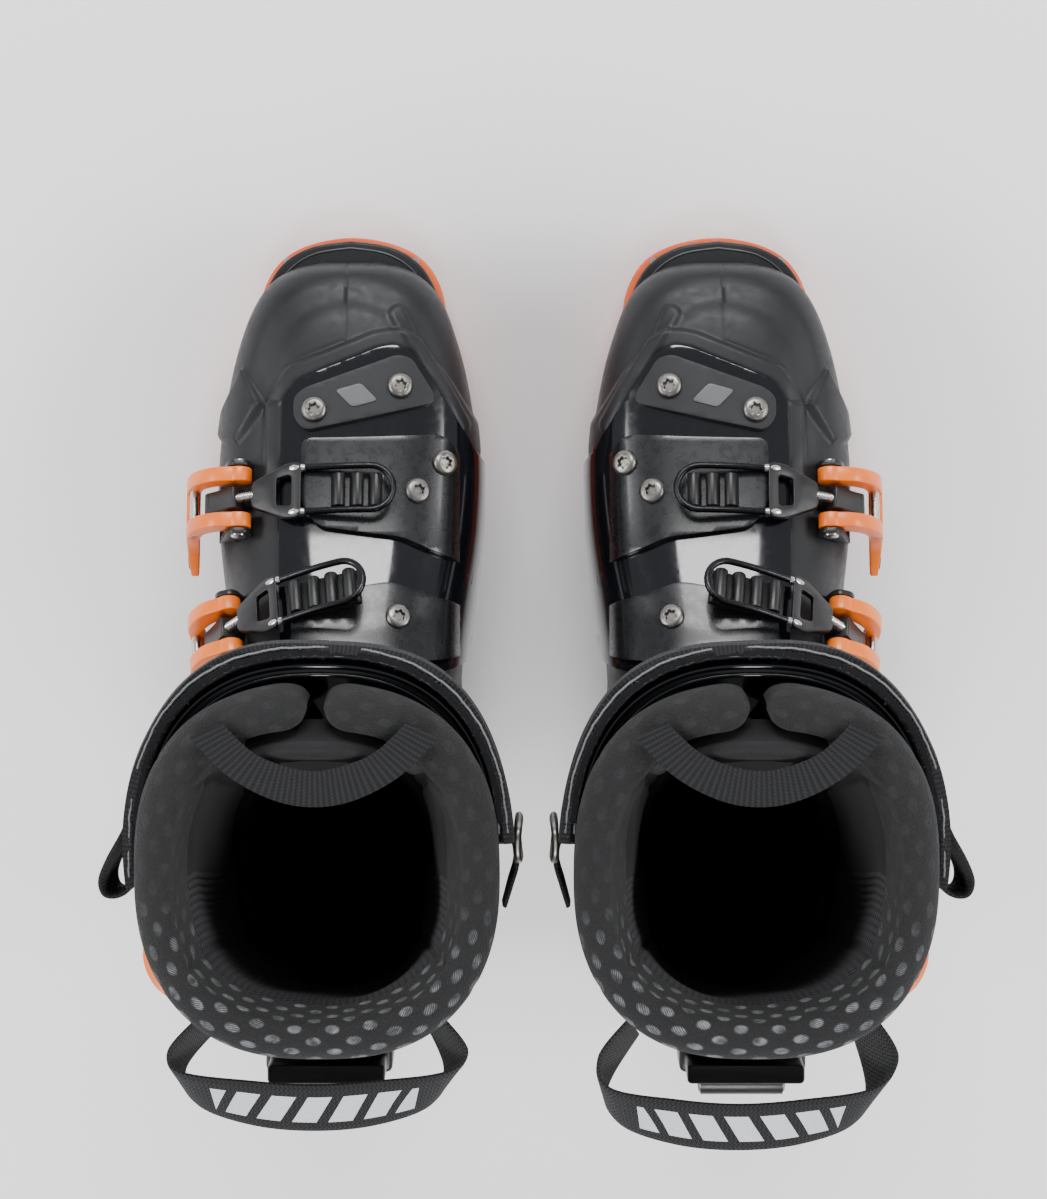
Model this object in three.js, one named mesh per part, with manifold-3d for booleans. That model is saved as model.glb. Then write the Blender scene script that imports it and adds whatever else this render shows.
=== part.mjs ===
// A pair of buckled alpine touring ski boots, toes towards +Y, standing on Z = 0. Millimetres, +Z up.
// One boot is described for the right foot (+X is its lateral side); the left boot is its mirror image.
import * as THREE from "three";
import { mergeVertices } from "three/addons/utils/BufferGeometryUtils.js";
import Module from "manifold-3d";

const wasm = await Module();
wasm.setup();

// ---- Driving dimensions ----
const BOOT_OFFSET_X = 75; // from the pair's middle to each boot's middle
const TOE_Y = 155; // sole tip
const HEEL_Y = -150; // sole back
const GAP = 0.4; // between pieces that rest on each other
const WALL = 4; // moulded shell thickness
const LINER_GAP = 1; // shell to liner
const LINER_THICK = 9;
const PIVOT = { y: -72, z: 93 }; // ankle hinge, its axis along X
const NECK_RADIUS = 68; // the shell's neck is round about the ankle hinge
const NECK_TOP = 132;
const SWEEP = { radius: 71, halfWidth: 49.3, power: 3.5 }; // space the cuff leaves for the neck
const CUFF_EDGE = { front: 50, rear: 152, lobe: 24 }; // cuff's lower edges in degrees about the hinge
const CUFF_TOP = 298;
const LINER_TOP = 322;

// ---- Outline tables: hand-set stations, joined by smooth curves ----
// Foot: y, half width medial, half width lateral, bottom, widest height, top.
const FOOT = [
  [-143, 14, 14, 42, 52, 64],
  [-141, 22, 22, 37, 51, 74],
  [-138, 27, 27, 34, 50, 90],
  [-134, 31, 31, 31, 49, 98],
  [-128, 35, 35, 29, 48, 100],
  [-116, 39.5, 39.5, 27.5, 47, 100],
  [-98, 42.5, 43, 26.5, 46, 100],
  [-72, 44, 45.5, 26, 46, 100],
  [-40, 44.5, 46.5, 25, 46, 112],
  [-12, 46, 48, 23, 45, 117],
  [10, 48.5, 50.5, 21, 44, 105],
  [40, 51.5, 53.5, 19, 42, 89],
  [70, 51.5, 53, 18.5, 40, 77],
  [98, 47.5, 48.5, 19, 38, 68],
  [118, 42, 43, 20, 37, 62],
  [131, 36.5, 37, 21.5, 36, 57],
  [139, 29.5, 30, 24, 35.5, 52],
  [143.5, 21, 21, 26, 35, 47],
  [145.5, 12, 12, 29, 34, 40],
];
// Cuff, outside: z, half width, rear y, front y.
const CUFF = [
  [66, 52.4, -145, -2],
  [93, 52.6, -145, -8],
  [125, 52.8, -143.5, -18],
  [150, 53, -141, -20],
  [185, 53.6, -137, -11],
  [225, 56.5, -131.5, -1],
  [262, 59, -126, 8],
  [298, 60.5, -119, 16],
];
// Liner above the ankle, outside: z, half width, rear y, front y.
const SLEEVE = [
  [120, 46, -134, -24],
  [150, 47, -135, -25],
  [185, 48.2, -131.5, -16.5],
  [225, 51, -126, -6.5],
  [262, 53.5, -120.5, 2.5],
  [299, 55.6, -114, 11],
  [306, 59, -116.5, 11],
  [315, 62, -118, 10.5],
  [322, 59.5, -115, 7],
];

// ---- Colours and finishes ----
const finish = (color, roughness, metalness = 0) =>
  new THREE.MeshStandardMaterial({ color, roughness, metalness });
const MATERIAL = {
  matteShell: finish(0x232527, 0.55),
  glossShell: finish(0x0d0e11, 0.12),
  plastic: finish(0x18191a, 0.45),
  orange: finish(0xf26a10, 0.4),
  rubber: finish(0xe4561a, 0.75),
  steel: finish(0x9a958c, 0.35, 1),
  wire: finish(0x17181a, 0.3, 0.8),
  foam: finish(0x1c1c1d, 0.95),
  webbing: finish(0x161617, 0.9),
};

// ---- Curves through stations ----
// Value of column k at position t, by a Catmull-Rom cubic through the table's rows.
function smooth(table, t, k) {
  const last = table.length - 1;
  const x = Math.min(Math.max(t, table[0][0]), table[last][0]);
  let i = 0;
  while (i < last - 1 && table[i + 1][0] < x) i += 1;
  const row = (j) => table[Math.min(Math.max(j, 0), last)];
  const slope = (j) => {
    const a = row(j - 1);
    const b = row(j + 1);
    return b[0] === a[0] ? 0 : (b[k] - a[k]) / (b[0] - a[0]);
  };
  const [p, q] = [row(i), row(i + 1)];
  const span = q[0] - p[0];
  const s = (x - p[0]) / span;
  const rise = s * s * (3 - 2 * s);
  const bend = s * (1 - s) * span;
  return p[k] * (1 - rise) + q[k] * rise + bend * ((1 - s) * slope(i) - s * slope(i + 1));
}

const power = (v, n) => Math.sign(v) * Math.abs(v) ** n;

// ---- Solids ----
// Closed surface through rings of equal point count, capped at both ends.
function loft(rings) {
  const n = rings[0].length;
  const points = rings.flat();
  const index = [];
  for (let r = 0; r + 1 < rings.length; r += 1)
    for (let i = 0; i < n; i += 1) {
      const j = (i + 1) % n;
      const [a, b, c, d] = [r * n + i, r * n + j, (r + 1) * n + j, (r + 1) * n + i];
      index.push(a, b, c, a, c, d);
    }
  const cap = (first, ring, turned) => {
    const middle = ring.reduce((sum, p) => sum.add(p), new THREE.Vector3()).divideScalar(n);
    points.push(middle);
    const centre = points.length - 1;
    for (let i = 0; i < n; i += 1) {
      const [a, b] = [first + i, first + ((i + 1) % n)];
      index.push(centre, turned ? b : a, turned ? a : b);
    }
  };
  cap(0, rings[0], true);
  cap((rings.length - 1) * n, rings[rings.length - 1], false);
  const geometry = new THREE.BufferGeometry().setFromPoints(points);
  geometry.setIndex(index);
  return geometry;
}

// A manifold solid from a closed geometry, whichever way round its faces were made.
function solid(geometry) {
  const bare = new THREE.BufferGeometry().setAttribute("position", geometry.getAttribute("position"));
  bare.setIndex(geometry.index);
  const merged = mergeVertices(bare, 1e-3);
  const triVerts = new Uint32Array(merged.index.array);
  const build = () =>
    new wasm.Manifold(
      new wasm.Mesh({ numProp: 3, vertProperties: merged.attributes.position.array, triVerts }),
    );
  const made = build();
  if (made.volume() > 0) return made;
  for (let i = 0; i < triVerts.length; i += 3)
    [triVerts[i + 1], triVerts[i + 2]] = [triVerts[i + 2], triVerts[i + 1]];
  return build();
}

function geometryOf(made) {
  const mesh = made.getMesh();
  const positions = new Float32Array(mesh.numVert * 3);
  for (let i = 0; i < mesh.numVert; i += 1)
    positions.set(mesh.vertProperties.subarray(i * mesh.numProp, i * mesh.numProp + 3), i * 3);
  const geometry = new THREE.BufferGeometry();
  geometry.setAttribute("position", new THREE.BufferAttribute(positions, 3));
  geometry.setIndex(new THREE.BufferAttribute(mesh.triVerts, 1));
  const flat = geometry.toNonIndexed();
  flat.computeVertexNormals();
  return flat;
}

const move = (geometry, x, y, z) => geometry.translate(x, y, z);
const box = (x0, x1, y0, y1, z0, z1) =>
  solid(
    move(
      new THREE.BoxGeometry(x1 - x0, y1 - y0, z1 - z0),
      (x0 + x1) / 2,
      (y0 + y1) / 2,
      (z0 + z1) / 2,
    ),
  );
const outline = (points) => new THREE.Shape(points.map(([a, b]) => new THREE.Vector2(a, b)));
const smoothOutline = (points, count) =>
  new THREE.Shape(
    new THREE.CatmullRomCurve3(
      points.map(([a, b]) => new THREE.Vector3(a, b, 0)),
      true,
    )
      .getSpacedPoints(count)
      .slice(0, count)
      .map((p) => new THREE.Vector2(p.x, p.y)),
  );
const extrude = (shape, depth, curveSegments = 8) =>
  new THREE.ExtrudeGeometry(shape, { depth, bevelEnabled: false, curveSegments, steps: 1 });
// Shape drawn in plan (x, y), standing from z0 to z1.
const slabZ = (shape, z0, z1, segments) => solid(move(extrude(shape, z1 - z0, segments), 0, 0, z0));
// Shape drawn in side view (y, z), reaching from x0 to x1.
const SIDE_VIEW = new THREE.Matrix4().makeBasis(
  new THREE.Vector3(0, 1, 0),
  new THREE.Vector3(0, 0, 1),
  new THREE.Vector3(1, 0, 0),
);
const slabX = (shape, x0, x1, segments) =>
  solid(move(extrude(shape, x1 - x0, segments).applyMatrix4(SIDE_VIEW), x0, 0, 0));
const cylinderX = (radius, x0, x1, y, z, sides = 20) =>
  solid(
    move(new THREE.CylinderGeometry(radius, radius, x1 - x0, sides).rotateZ(Math.PI / 2), (x0 + x1) / 2, y, z),
  );
const join = (...parts) => parts.reduce((a, b) => a.add(b));

// ---- The foot shell's surface, moved inwards by inset ----
const FOOT_POWER = { bottom: 3.4, side: 2.35, ankle: 3 };
const FOOT_SPAN = [FOOT[0][0], FOOT[FOOT.length - 1][0]];

function neckTop(y) {
  const reach = NECK_RADIUS ** 2 - (y - PIVOT.y) ** 2;
  return reach > 0 ? PIVOT.z + Math.sqrt(reach) : 0;
}

function footRing(y, inset, sides) {
  const [from, to] = FOOT_SPAN;
  const share = (y - from) / (to - from);
  const placed = from + inset + share * (to - from - 2 * inset);
  const [medial, lateral, bottom, widest] = [1, 2, 3, 4].map((k) => smooth(FOOT, y, k));
  const instep = smooth(FOOT, y, 5);
  const top = Math.max(instep, neckTop(y));
  const boxy = THREE.MathUtils.smoothstep(-y, -10, 30);
  const topPower = FOOT_POWER.side + (FOOT_POWER.ankle - FOOT_POWER.side) * boxy;
  return Array.from({ length: sides }, (_, i) => {
    const angle = (2 * Math.PI * i) / sides;
    const [c, s] = [Math.cos(angle), Math.sin(angle)];
    const half = (c > 0 ? lateral : medial) - inset;
    const tall = s > 0 ? top - widest - inset : widest - bottom - inset;
    const n = 2 / (s > 0 ? topPower : FOOT_POWER.bottom);
    return new THREE.Vector3(half * power(c, n), placed, widest + tall * power(s, n));
  });
}

const FOOT_STATIONS = [
  -143, -140.5, -136, -129, -114, -80, -40, -20, -6, 12, 38, 66, 93, 114, 130, 140, 145.5,
];
const footSolid = (inset, sides = 16, stations = FOOT_STATIONS) =>
  solid(loft(stations.map((y) => footRing(y, inset, sides))));

// ---- Rings round the leg: cuff and liner sleeve ----
const LEG_POWER = 2.45;
function legRing(table, z, inset, sides) {
  const [half, rear, front] = [1, 2, 3].map((k) => smooth(table, z, k));
  const middle = (rear + front) / 2;
  const reach = (front - rear) / 2 - inset;
  return Array.from({ length: sides }, (_, i) => {
    const angle = (2 * Math.PI * (i + 0.5)) / sides;
    const x = (half - inset) * power(Math.cos(angle), 2 / LEG_POWER);
    return new THREE.Vector3(x, middle + reach * power(Math.sin(angle), 2 / LEG_POWER), z);
  });
}
const legSolid = (table, heights, inset, sides = 18) =>
  solid(loft(heights.map((z) => legRing(table, z, inset, sides))));

// Solid of revolution about the hinge, round in side view, which keeps neck and cuff apart.
function sweepSolid(extra = 0) {
  const steps = 6;
  const radius = SWEEP.radius + extra;
  const half = SWEEP.halfWidth;
  const profile = Array.from({ length: 2 * steps + 1 }, (_, i) => {
    const a = (Math.PI * (i - steps)) / (2 * steps);
    const n = 2 / SWEEP.power;
    return new THREE.Vector2(Math.max(radius * power(Math.cos(a), n), 0), half * power(Math.sin(a), n));
  });
  profile[0].x = 0;
  profile[2 * steps].x = 0;
  const turned = new THREE.LatheGeometry(profile, 32).rotateZ(-Math.PI / 2);
  return solid(move(turned, 0, PIVOT.y, PIVOT.z));
}

// ---- Lower shell ----
// Toe ledge in plan: straight sides, then a round front.
const ledgeOutline = (grow) =>
  smoothOutline(
    [
      [0, TOE_Y + grow],
      [16, 152.5 + grow],
      [28, 145.5 + grow],
      [35 + grow, 134],
      [37.5 + grow, 121],
      [39 + grow, 108],
      [20, 104],
      [-20, 104],
      [-38 - grow, 108],
      [-37 - grow, 121],
      [-34.5 - grow, 134],
      [-28, 145.5 + grow],
      [-16, 152.5 + grow],
    ],
    26,
  );
const TOE_BAR = { y: 143, z: 23, radius: 4.5, half: 29 };
const PIVOT_HOLE = 5.4;

function lowerShell() {
  const hollow = footSolid(WALL);
  const ledge = slabZ(ledgeOutline(-1), 20.5, 31);
  const lockBlock = box(-11, 11, -147.5, -136, 80, 92);
  const above = box(-80, 80, -160, 10, NECK_TOP, 200);
  const pins = cylinderX(PIVOT_HOLE, -60, 60, PIVOT.y, PIVOT.z, 12);
  const bar = cylinderX(TOE_BAR.radius + GAP, -50, 50, TOE_BAR.y, TOE_BAR.z, 12);
  return join(footSolid(0), ledge, lockBlock).subtract(hollow).subtract(above).subtract(pins).subtract(bar);
}

const toeInsert = () => cylinderX(TOE_BAR.radius, -TOE_BAR.half, TOE_BAR.half, TOE_BAR.y, TOE_BAR.z, 12);

// ---- Soles: cut to the shell that stands in them ----
const shellWithGap = () => join(footSolid(-GAP), slabZ(ledgeOutline(-1 + GAP), 20.5 - GAP, 31 + GAP));

function toeSole() {
  const plan = smoothOutline(
    [
      [0, TOE_Y],
      [17, 152.3],
      [29, 145.5],
      [36, 134],
      [38.5, 120],
      [43, 95],
      [45, 65],
      [40, 35],
      [32, 12],
      [0, 6],
      [-31, 12],
      [-38, 35],
      [-44, 65],
      [-42, 95],
      [-39, 120],
      [-36.5, 134],
      [-29.5, 145.5],
      [-17, 152.3],
    ],
    30,
  );
  const rocker = slabX(
    outline([
      [100, -1],
      [TOE_Y + 10, -1],
      [TOE_Y + 10, 9],
      [146, 5.2],
      [128, 1.6],
      [100, 0],
    ]),
    -80,
    80,
  );
  const bar = cylinderX(TOE_BAR.radius + GAP, -50, 50, TOE_BAR.y, TOE_BAR.z, 12);
  return slabZ(plan, 0, 24).subtract(rocker).subtract(shellWithGap()).subtract(bar);
}

function heelSole() {
  const plan = smoothOutline(
    [
      [0, HEEL_Y],
      [20, -147.5],
      [33, -137],
      [37, -118],
      [37, -92],
      [30, -78],
      [0, -74],
      [-30, -78],
      [-36.5, -92],
      [-36.5, -118],
      [-33, -137],
      [-20, -147.5],
    ],
    24,
  );
  const pocket = box(-14.4, 14.4, HEEL_Y - 5, HEEL_Y + 3.4, 5, 34);
  return slabZ(plan, 0, 31).subtract(shellWithGap()).subtract(pocket);
}

function heelInsert() {
  const plate = box(-14, 14, HEEL_Y, HEEL_Y + 3, 7, 30);
  const slot = (x) => box(x - 1.6, x + 1.6, HEEL_Y - 1, HEEL_Y + 4, 18, 31);
  return plate.subtract(slot(-5)).subtract(slot(5));
}

// ---- Overlap flap, its two raised straps and the badge plate, as layers over the shell ----
const FLAP = { low: GAP, high: 3.2, strap: 6, reach: 17 }; // reach: angle the cuff's front edge swings down to
const FLAP_PLAN = [
  [-56, -13],
  [-56, 56],
  [-44, 77],
  [-32, 98],
  [-24, 109],
  [-18, 111.5],
  [-12, 110.5],
  [4, 104],
  [19, 98],
  [25, 90],
  [25, 30],
  [23, -13],
];
const TOE_STRAP_PLAN = [
  [-56, 12],
  [-44, 26],
  [-20, 38],
  [10, 42],
  [16, 50],
  [16, 74.5],
  [-34, 75.5],
  [-56, 56],
];
const ANKLE_STRAP_PLAN = [
  [-56, -13],
  [-40, -8],
  [-10, -6],
  [16, -10],
  [19, 6],
  [15, 17],
  [-16, 22],
  [-40, 12],
  [-56, 0],
];
const BADGE_PLAN = [
  [-31, 87.5],
  [-31, 91],
  [-23, 104.5],
  [-18, 106],
  [15, 93.5],
  [19, 90],
  [19, 82],
  [15, 77.5],
];
const layer = (low, high, plan) => {
  const ring = footSolid(-high).subtract(footSolid(-low));
  return ring.intersect(slabZ(outline(plan), 46, 200));
};

function instepFlap() {
  const straps = [TOE_STRAP_PLAN, ANKLE_STRAP_PLAN].map((plan) => layer(FLAP.high - 0.5, FLAP.strap, plan));
  const all = join(layer(FLAP.low, FLAP.high, FLAP_PLAN), ...straps);
  const cuffPath = hingeWedge(FLAP.reach, 120).subtract(sweepSolid(-GAP));
  return all.subtract(cuffPath).subtract(racksCut());
}

const badgePlate = () => layer(FLAP.high + GAP, FLAP.high + 2.4, BADGE_PLAN);

// ---- Buckles: drawn in their own plane. u runs from the lever's hinge towards the rack, w outwards. ----
// The lever's hinge is at the local origin and its axis is the local z axis.
const PRONG = { inner: 6.4, outer: 12.4 };
const EAR = { inner: 12.9, outer: 15 };
const HANG = { u: -11, w: -10 }; // where the bail hangs in the lever
const THIMBLE_HALF = 4.6;
const WIRE = { radius: 1.3, half: 9, start: 22 };

const BUCKLES = {
  toe: { at: [43, 53, 78], turn: [21, 0, 0], tip: [-20, -36], skew: -12, teeth: 3, reach: 62 },
  ankle: { at: [46, 3, 94], turn: [34, 14, -6], tip: [-20, -34], skew: -8, teeth: 4, reach: 62 },
  cuff: { at: [62, -92, 215], turn: [0, 0, 0], tip: [-24, -32], skew: 0, teeth: 3, reach: 62 },
};
const CUFF_BUCKLE_TURN = -22; // about the cuff buckle's hinge, so that the bail follows the cuff forwards

function buckleMatrix(name) {
  const { at, turn } = BUCKLES[name];
  const axes =
    name === "cuff"
      ? [new THREE.Vector3(0, 1, 0), new THREE.Vector3(1, 0, 0), new THREE.Vector3(0, 0, -1)]
      : [new THREE.Vector3(-1, 0, 0), new THREE.Vector3(0, 0, 1), new THREE.Vector3(0, 1, 0)];
  const basis = new THREE.Matrix4().makeBasis(...axes);
  const [tilt, raise, yaw] = turn.map(THREE.MathUtils.degToRad);
  const twist = name === "cuff" ? THREE.MathUtils.degToRad(CUFF_BUCKLE_TURN) : 0;
  return new THREE.Matrix4()
    .makeTranslation(...at)
    .multiply(new THREE.Matrix4().makeRotationZ(yaw))
    .multiply(new THREE.Matrix4().makeRotationX(-tilt))
    .multiply(new THREE.Matrix4().makeRotationY(raise))
    .multiply(basis)
    .multiply(new THREE.Matrix4().makeRotationZ(twist));
}

// Slab drawn in the buckle's (u, w) plane, from v0 to v1 along its hinge.
const slabV = (points, v0, v1, count = 0) =>
  slabZ(count ? smoothOutline(points, count) : outline(points), v0, v1);
const pinV = (radius, v0, v1, u, w, sides = 12) =>
  solid(
    move(new THREE.CylinderGeometry(radius, radius, v1 - v0, sides).rotateX(Math.PI / 2), u, w, (v0 + v1) / 2),
  );

// Both edges of a bar of the given half thicknesses along a line of points.
function bar(points, halves) {
  const side = (sign) =>
    points.map(([u, w], i) => {
      const [a, b] = [points[Math.max(i - 1, 0)], points[Math.min(i + 1, points.length - 1)]];
      const length = Math.hypot(b[0] - a[0], b[1] - a[1]);
      const [nu, nw] = [-(b[1] - a[1]) / length, (b[0] - a[0]) / length];
      return [u + sign * halves[i] * nu, w + sign * halves[i] * nw];
    });
  return [...side(1), ...side(-1).reverse()];
}

function lever({ tip, skew }) {
  const arm = [
    [0, 0],
    [-9, -1],
    [-16.5, -7],
    [-19.5, -16],
    [(tip[0] - 20) / 2, (tip[1] - 16) / 2 - 2],
    tip,
  ];
  const prong = (v0, v1) =>
    join(slabV(bar(arm.slice(0, 4), [4.6, 4, 3.1, 2.8]), v0, v1), pinV(5, v0, v1, 0, 0, 12));
  const plate = slabV(bar(arm.slice(3), [2.8, 2.4, 1.8]), -PRONG.outer, PRONG.outer);
  const skewed = plate.warp((p) => {
    const drop = Math.min(Math.max((-16 - p[1]) / 20, 0), 1);
    p[2] += skew * drop;
  });
  const axle = pinV(1.9, -EAR.inner + GAP, EAR.inner - GAP, -19, -13, 10);
  return join(prong(PRONG.inner, PRONG.outer), prong(-PRONG.outer, -PRONG.inner), skewed, axle);
}

const BAIL_LINE = [
  [HANG.u, HANG.w],
  [0, 1],
  [6, 4.6],
];
function bail(reach) {
  const thimble = join(
    slabV(bar(BAIL_LINE.slice(0, 2), [3.2, 3.2]), -THIMBLE_HALF, THIMBLE_HALF),
    pinV(3.4, -THIMBLE_HALF, THIMBLE_HALF, HANG.u, HANG.w),
  );
  const rod = slabV(bar(BAIL_LINE.slice(1), [1.9, 1.9]), -1.9, 1.9);
  const carrierSide = bar(
    [
      [5.4, 4.2],
      [14, 8.6],
      [24, 12.4],
    ],
    [1.9, 1.7, 1.6],
  );
  const taper = solid(
    new THREE.ExtrudeGeometry(
      outline([
        [4, -5.5],
        [20, -11],
        [25, -11],
        [25, 11],
        [20, 11],
        [4, 5.5],
      ]),
      { depth: 30, bevelEnabled: false },
    ).rotateX(Math.PI / 2).translate(0, 22, 0),
  );
  const window = solid(
    new THREE.ExtrudeGeometry(
      outline([
        [16.5, -5.2],
        [22, -6.2],
        [22, 6.2],
        [16.5, 5.2],
      ]),
      { depth: 30, bevelEnabled: false },
    ).rotateX(Math.PI / 2).translate(0, 22, 0),
  );
  const carrier = slabV(carrierSide, -12, 12).intersect(taper).subtract(window);
  return join(thimble, rod, carrier, wireLoop(reach));
}

// Height of the wire over the rack, along u.
const wireRise = (u) => 12 + 5 * Math.sin((Math.PI * (u - WIRE.start)) / 64);
function wireLoop(reach) {
  const points = [];
  const legEnd = reach - WIRE.half;
  for (let i = 0; i <= 4; i += 1) points.push([WIRE.start + ((legEnd - WIRE.start) * i) / 4, -WIRE.half]);
  for (let i = 1; i < 8; i += 1) {
    const a = -Math.PI / 2 + (Math.PI * i) / 8;
    points.push([legEnd + WIRE.half * Math.cos(a), WIRE.half * Math.sin(a)]);
  }
  for (let i = 4; i >= 0; i -= 1) points.push([WIRE.start + ((legEnd - WIRE.start) * i) / 4, WIRE.half]);
  const path = new THREE.CatmullRomCurve3(
    points.map(([u, v]) => new THREE.Vector3(u, wireRise(u), v)),
    false,
    "centripetal",
  );
  const section = new THREE.Shape();
  section.absarc(0, 0, WIRE.radius, 0, 2 * Math.PI);
  return solid(new THREE.ExtrudeGeometry(section, { extrudePath: path, steps: 13, curveSegments: 3 }));
}

// The shell that a buckle is riveted to, grown by the gap and brought into the buckle's frame.
function mountingSurface(name) {
  const shell = name === "cuff" ? legSolid(CUFF, CUFF_HEIGHTS, -GAP) : footSolid(-GAP);
  return shell.transform(buckleMatrix(name).invert().elements);
}

// Base plate under the lever, with an ear on each side of the prongs.
function buckleBase(name) {
  const foot = slabV(
    bar(
      [
        [-8, -14.5],
        [-3, -9.8],
        [6, -5.2],
      ],
      [1, 1, 1],
    ),
    -EAR.outer,
    EAR.outer,
  );
  const ear = (v0, v1) =>
    join(
      slabV(
        [
          [-8.6, -14],
          [6, -6],
          [4, 3.2],
          [-4, 3.2],
        ],
        v0,
        v1,
      ),
      pinV(4.6, v0, v1, 0, 0, 10),
    );
  return join(foot, ear(EAR.inner, EAR.outer), ear(-EAR.outer, -EAR.inner)).subtract(mountingSurface(name));
}

// Toothed rack that the wire hooks on, with a plain foot behind the teeth.
const RACK = { pitch: 7.4, halfWidth: 6.6, footHalf: 7 };
const rackEnd = (reach) => reach - WIRE.radius - 2.2;
function rackFloor(name) {
  return name === "cuff" ? 11.6 : 12;
}
function rack(name) {
  const { teeth, reach } = BUCKLES[name];
  const depth = name === "cuff" ? 9 : 2;
  const floor = rackFloor(name) - 1.6;
  const end = rackEnd(reach);
  const start = end - teeth * RACK.pitch;
  const foot = slabV(
    [
      [start - 1, floor - depth],
      [end, floor - depth],
      [end, floor + 0.6],
      [start - 1, floor + 0.6],
    ],
    -RACK.footHalf,
    RACK.footHalf,
  );
  const tooth = (u) =>
    slabV(
      [
        [u, floor],
        [u + 5, floor],
        [u + 5.2, floor + 3.8],
        [u + 2.6, floor + 5.2],
        [u + 0.4, floor + 3.4],
      ],
      -RACK.halfWidth,
      RACK.halfWidth,
    );
  const made = [foot];
  for (let i = 0; i < teeth; i += 1) made.push(tooth(start + i * RACK.pitch + 1));
  return join(...made).subtract(mountingSurface(name));
}

function racksCut() {
  const room = (name) => {
    const { teeth, reach } = BUCKLES[name];
    const end = rackEnd(reach);
    const start = end - teeth * RACK.pitch;
    return slabV(
      [
        [start - 1.6, rackFloor(name) - 4.2],
        [end + 0.6, rackFloor(name) - 4.2],
        [end + 0.6, 60],
        [start - 1.6, 60],
      ],
      -RACK.footHalf - 0.6,
      RACK.footHalf + 0.6,
    ).transform(buckleMatrix(name).elements);
  };
  return join(room("toe"), room("ankle"));
}

// ---- Cuff ----
const CUFF_HEIGHTS = [66, 93, 125, 150, 185, 225, 262, CUFF_TOP];
function polar(angle, radius) {
  const a = THREE.MathUtils.degToRad(angle);
  return [PIVOT.y + radius * Math.cos(a), PIVOT.z + radius * Math.sin(a)];
}

// Everything seen from the hinge between two angles.
const hingeWedge = (from, to) =>
  slabX(outline([[PIVOT.y, PIVOT.z], polar(from, 320), polar((from + to) / 2, 320), polar(to, 320)]), -80, 80);

function cuff() {
  const outer = legSolid(CUFF, CUFF_HEIGHTS, 0);
  const inner = legSolid(CUFF, [60, ...CUFF_HEIGHTS.slice(1, -1), CUFF_TOP + 6], 3.4);
  const wedge = hingeWedge(CUFF_EDGE.front, CUFF_EDGE.rear);
  const lobes = cylinderX(CUFF_EDGE.lobe, -80, 80, PIVOT.y, PIVOT.z, 28);
  const spine = box(-24, 24, -142, -126, 176, 240).subtract(inner);
  const pins = cylinderX(PIVOT_HOLE, -80, 80, PIVOT.y, PIVOT.z, 12);
  return join(outer.subtract(inner).intersect(wedge.add(lobes)), spine)
    .subtract(sweepSolid())
    .subtract(pins);
}

// Rivet through cuff and shell: a shank with a wide head outside.
function pivotRivet(side) {
  const shank = cylinderX(PIVOT_HOLE - GAP, 44.6, 54, PIVOT.y, PIVOT.z, 12);
  const head = cylinderX(9, 52.9, 55.6, PIVOT.y, PIVOT.z, 16);
  const made = shank.add(head);
  return side > 0 ? made : made.scale([-1, 1, 1]);
}

// ---- Walk-mode lever down the cuff's spine ----
const WALK = { y: -147, z: 232, half: 12 };
function walkLever() {
  const side = bar(
    [
      [WALK.y, WALK.z],
      [WALK.y - 1, WALK.z - 20],
      [WALK.y - 3, 170],
      [WALK.y - 4.5, 118],
    ],
    [3.4, 3.2, 2.8, 2.6],
  );
  const finger = slabX(outline([[-150.5, 168], [-156, 160], [-153.5, 184], [-150.5, 184]]), -9, 9);
  return join(slabX(outline(side), -WALK.half, WALK.half), finger, cylinderX(4, -15, 15, WALK.y, WALK.z, 14));
}

// Room for the foot inside the liner.
const linerHollow = (extra) =>
  footSolid(WALL + LINER_GAP + LINER_THICK + extra, 14, FOOT_STATIONS.filter((_, i) => i % 2 === 0));

// ---- Liner, in a foot part and a sleeve that clear each other when the cuff tilts ----
function linerFoot() {
  const inset = WALL + LINER_GAP;
  const above = box(-80, 80, -160, 10, 126, 200);
  return footSolid(inset).subtract(linerHollow(0)).subtract(above);
}

const SLEEVE_HEIGHTS = [120, 150, 185, 225, 262, 299, 306, 315, LINER_TOP];
function linerSleeve() {
  const outer = legSolid(SLEEVE, SLEEVE_HEIGHTS, 0);
  const inner = legSolid(SLEEVE, [110, 185, 262, 299, 315, LINER_TOP + 6], 11, 14);
  const room = cylinderX(73, -80, 80, PIVOT.y, PIVOT.z, 32);
  const tongueRoom = box(-22, 22, -50, 40, 90, 400);
  return outer.subtract(inner).subtract(room).subtract(tongueRoom);
}

function linerTongue() {
  const rings = [172, 200, 240, 280, 310, 330].map((z) => {
    const front = smooth(SLEEVE, Math.min(z, 290), 3) - 1.5;
    const lean = Math.max(z - 290, 0) * 0.1;
    return Array.from({ length: 12 }, (_, i) => {
      const a = (2 * Math.PI * i) / 12;
      const x = 21.4 * power(Math.cos(a), 0.7);
      return new THREE.Vector3(x, front - 6 - lean + 4.8 * power(Math.sin(a), 0.8) - (x * x) / 160, z);
    });
  });
  const room = cylinderX(75, -80, 80, PIVOT.y, PIVOT.z, 32);
  return solid(loft(rings)).subtract(room);
}

const footbed = () =>
  slabZ(
    smoothOutline(
      [
        [0, -122],
        [20, -112],
        [24, -80],
        [25, -20],
        [29, 40],
        [28, 76],
        [18, 104],
        [-6, 112],
        [-24, 98],
        [-29, 60],
        [-24, 0],
        [-22, -80],
        [-18, -112],
      ],
      18,
    ),
    38,
    45,
  ).intersect(linerHollow(GAP));

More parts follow.
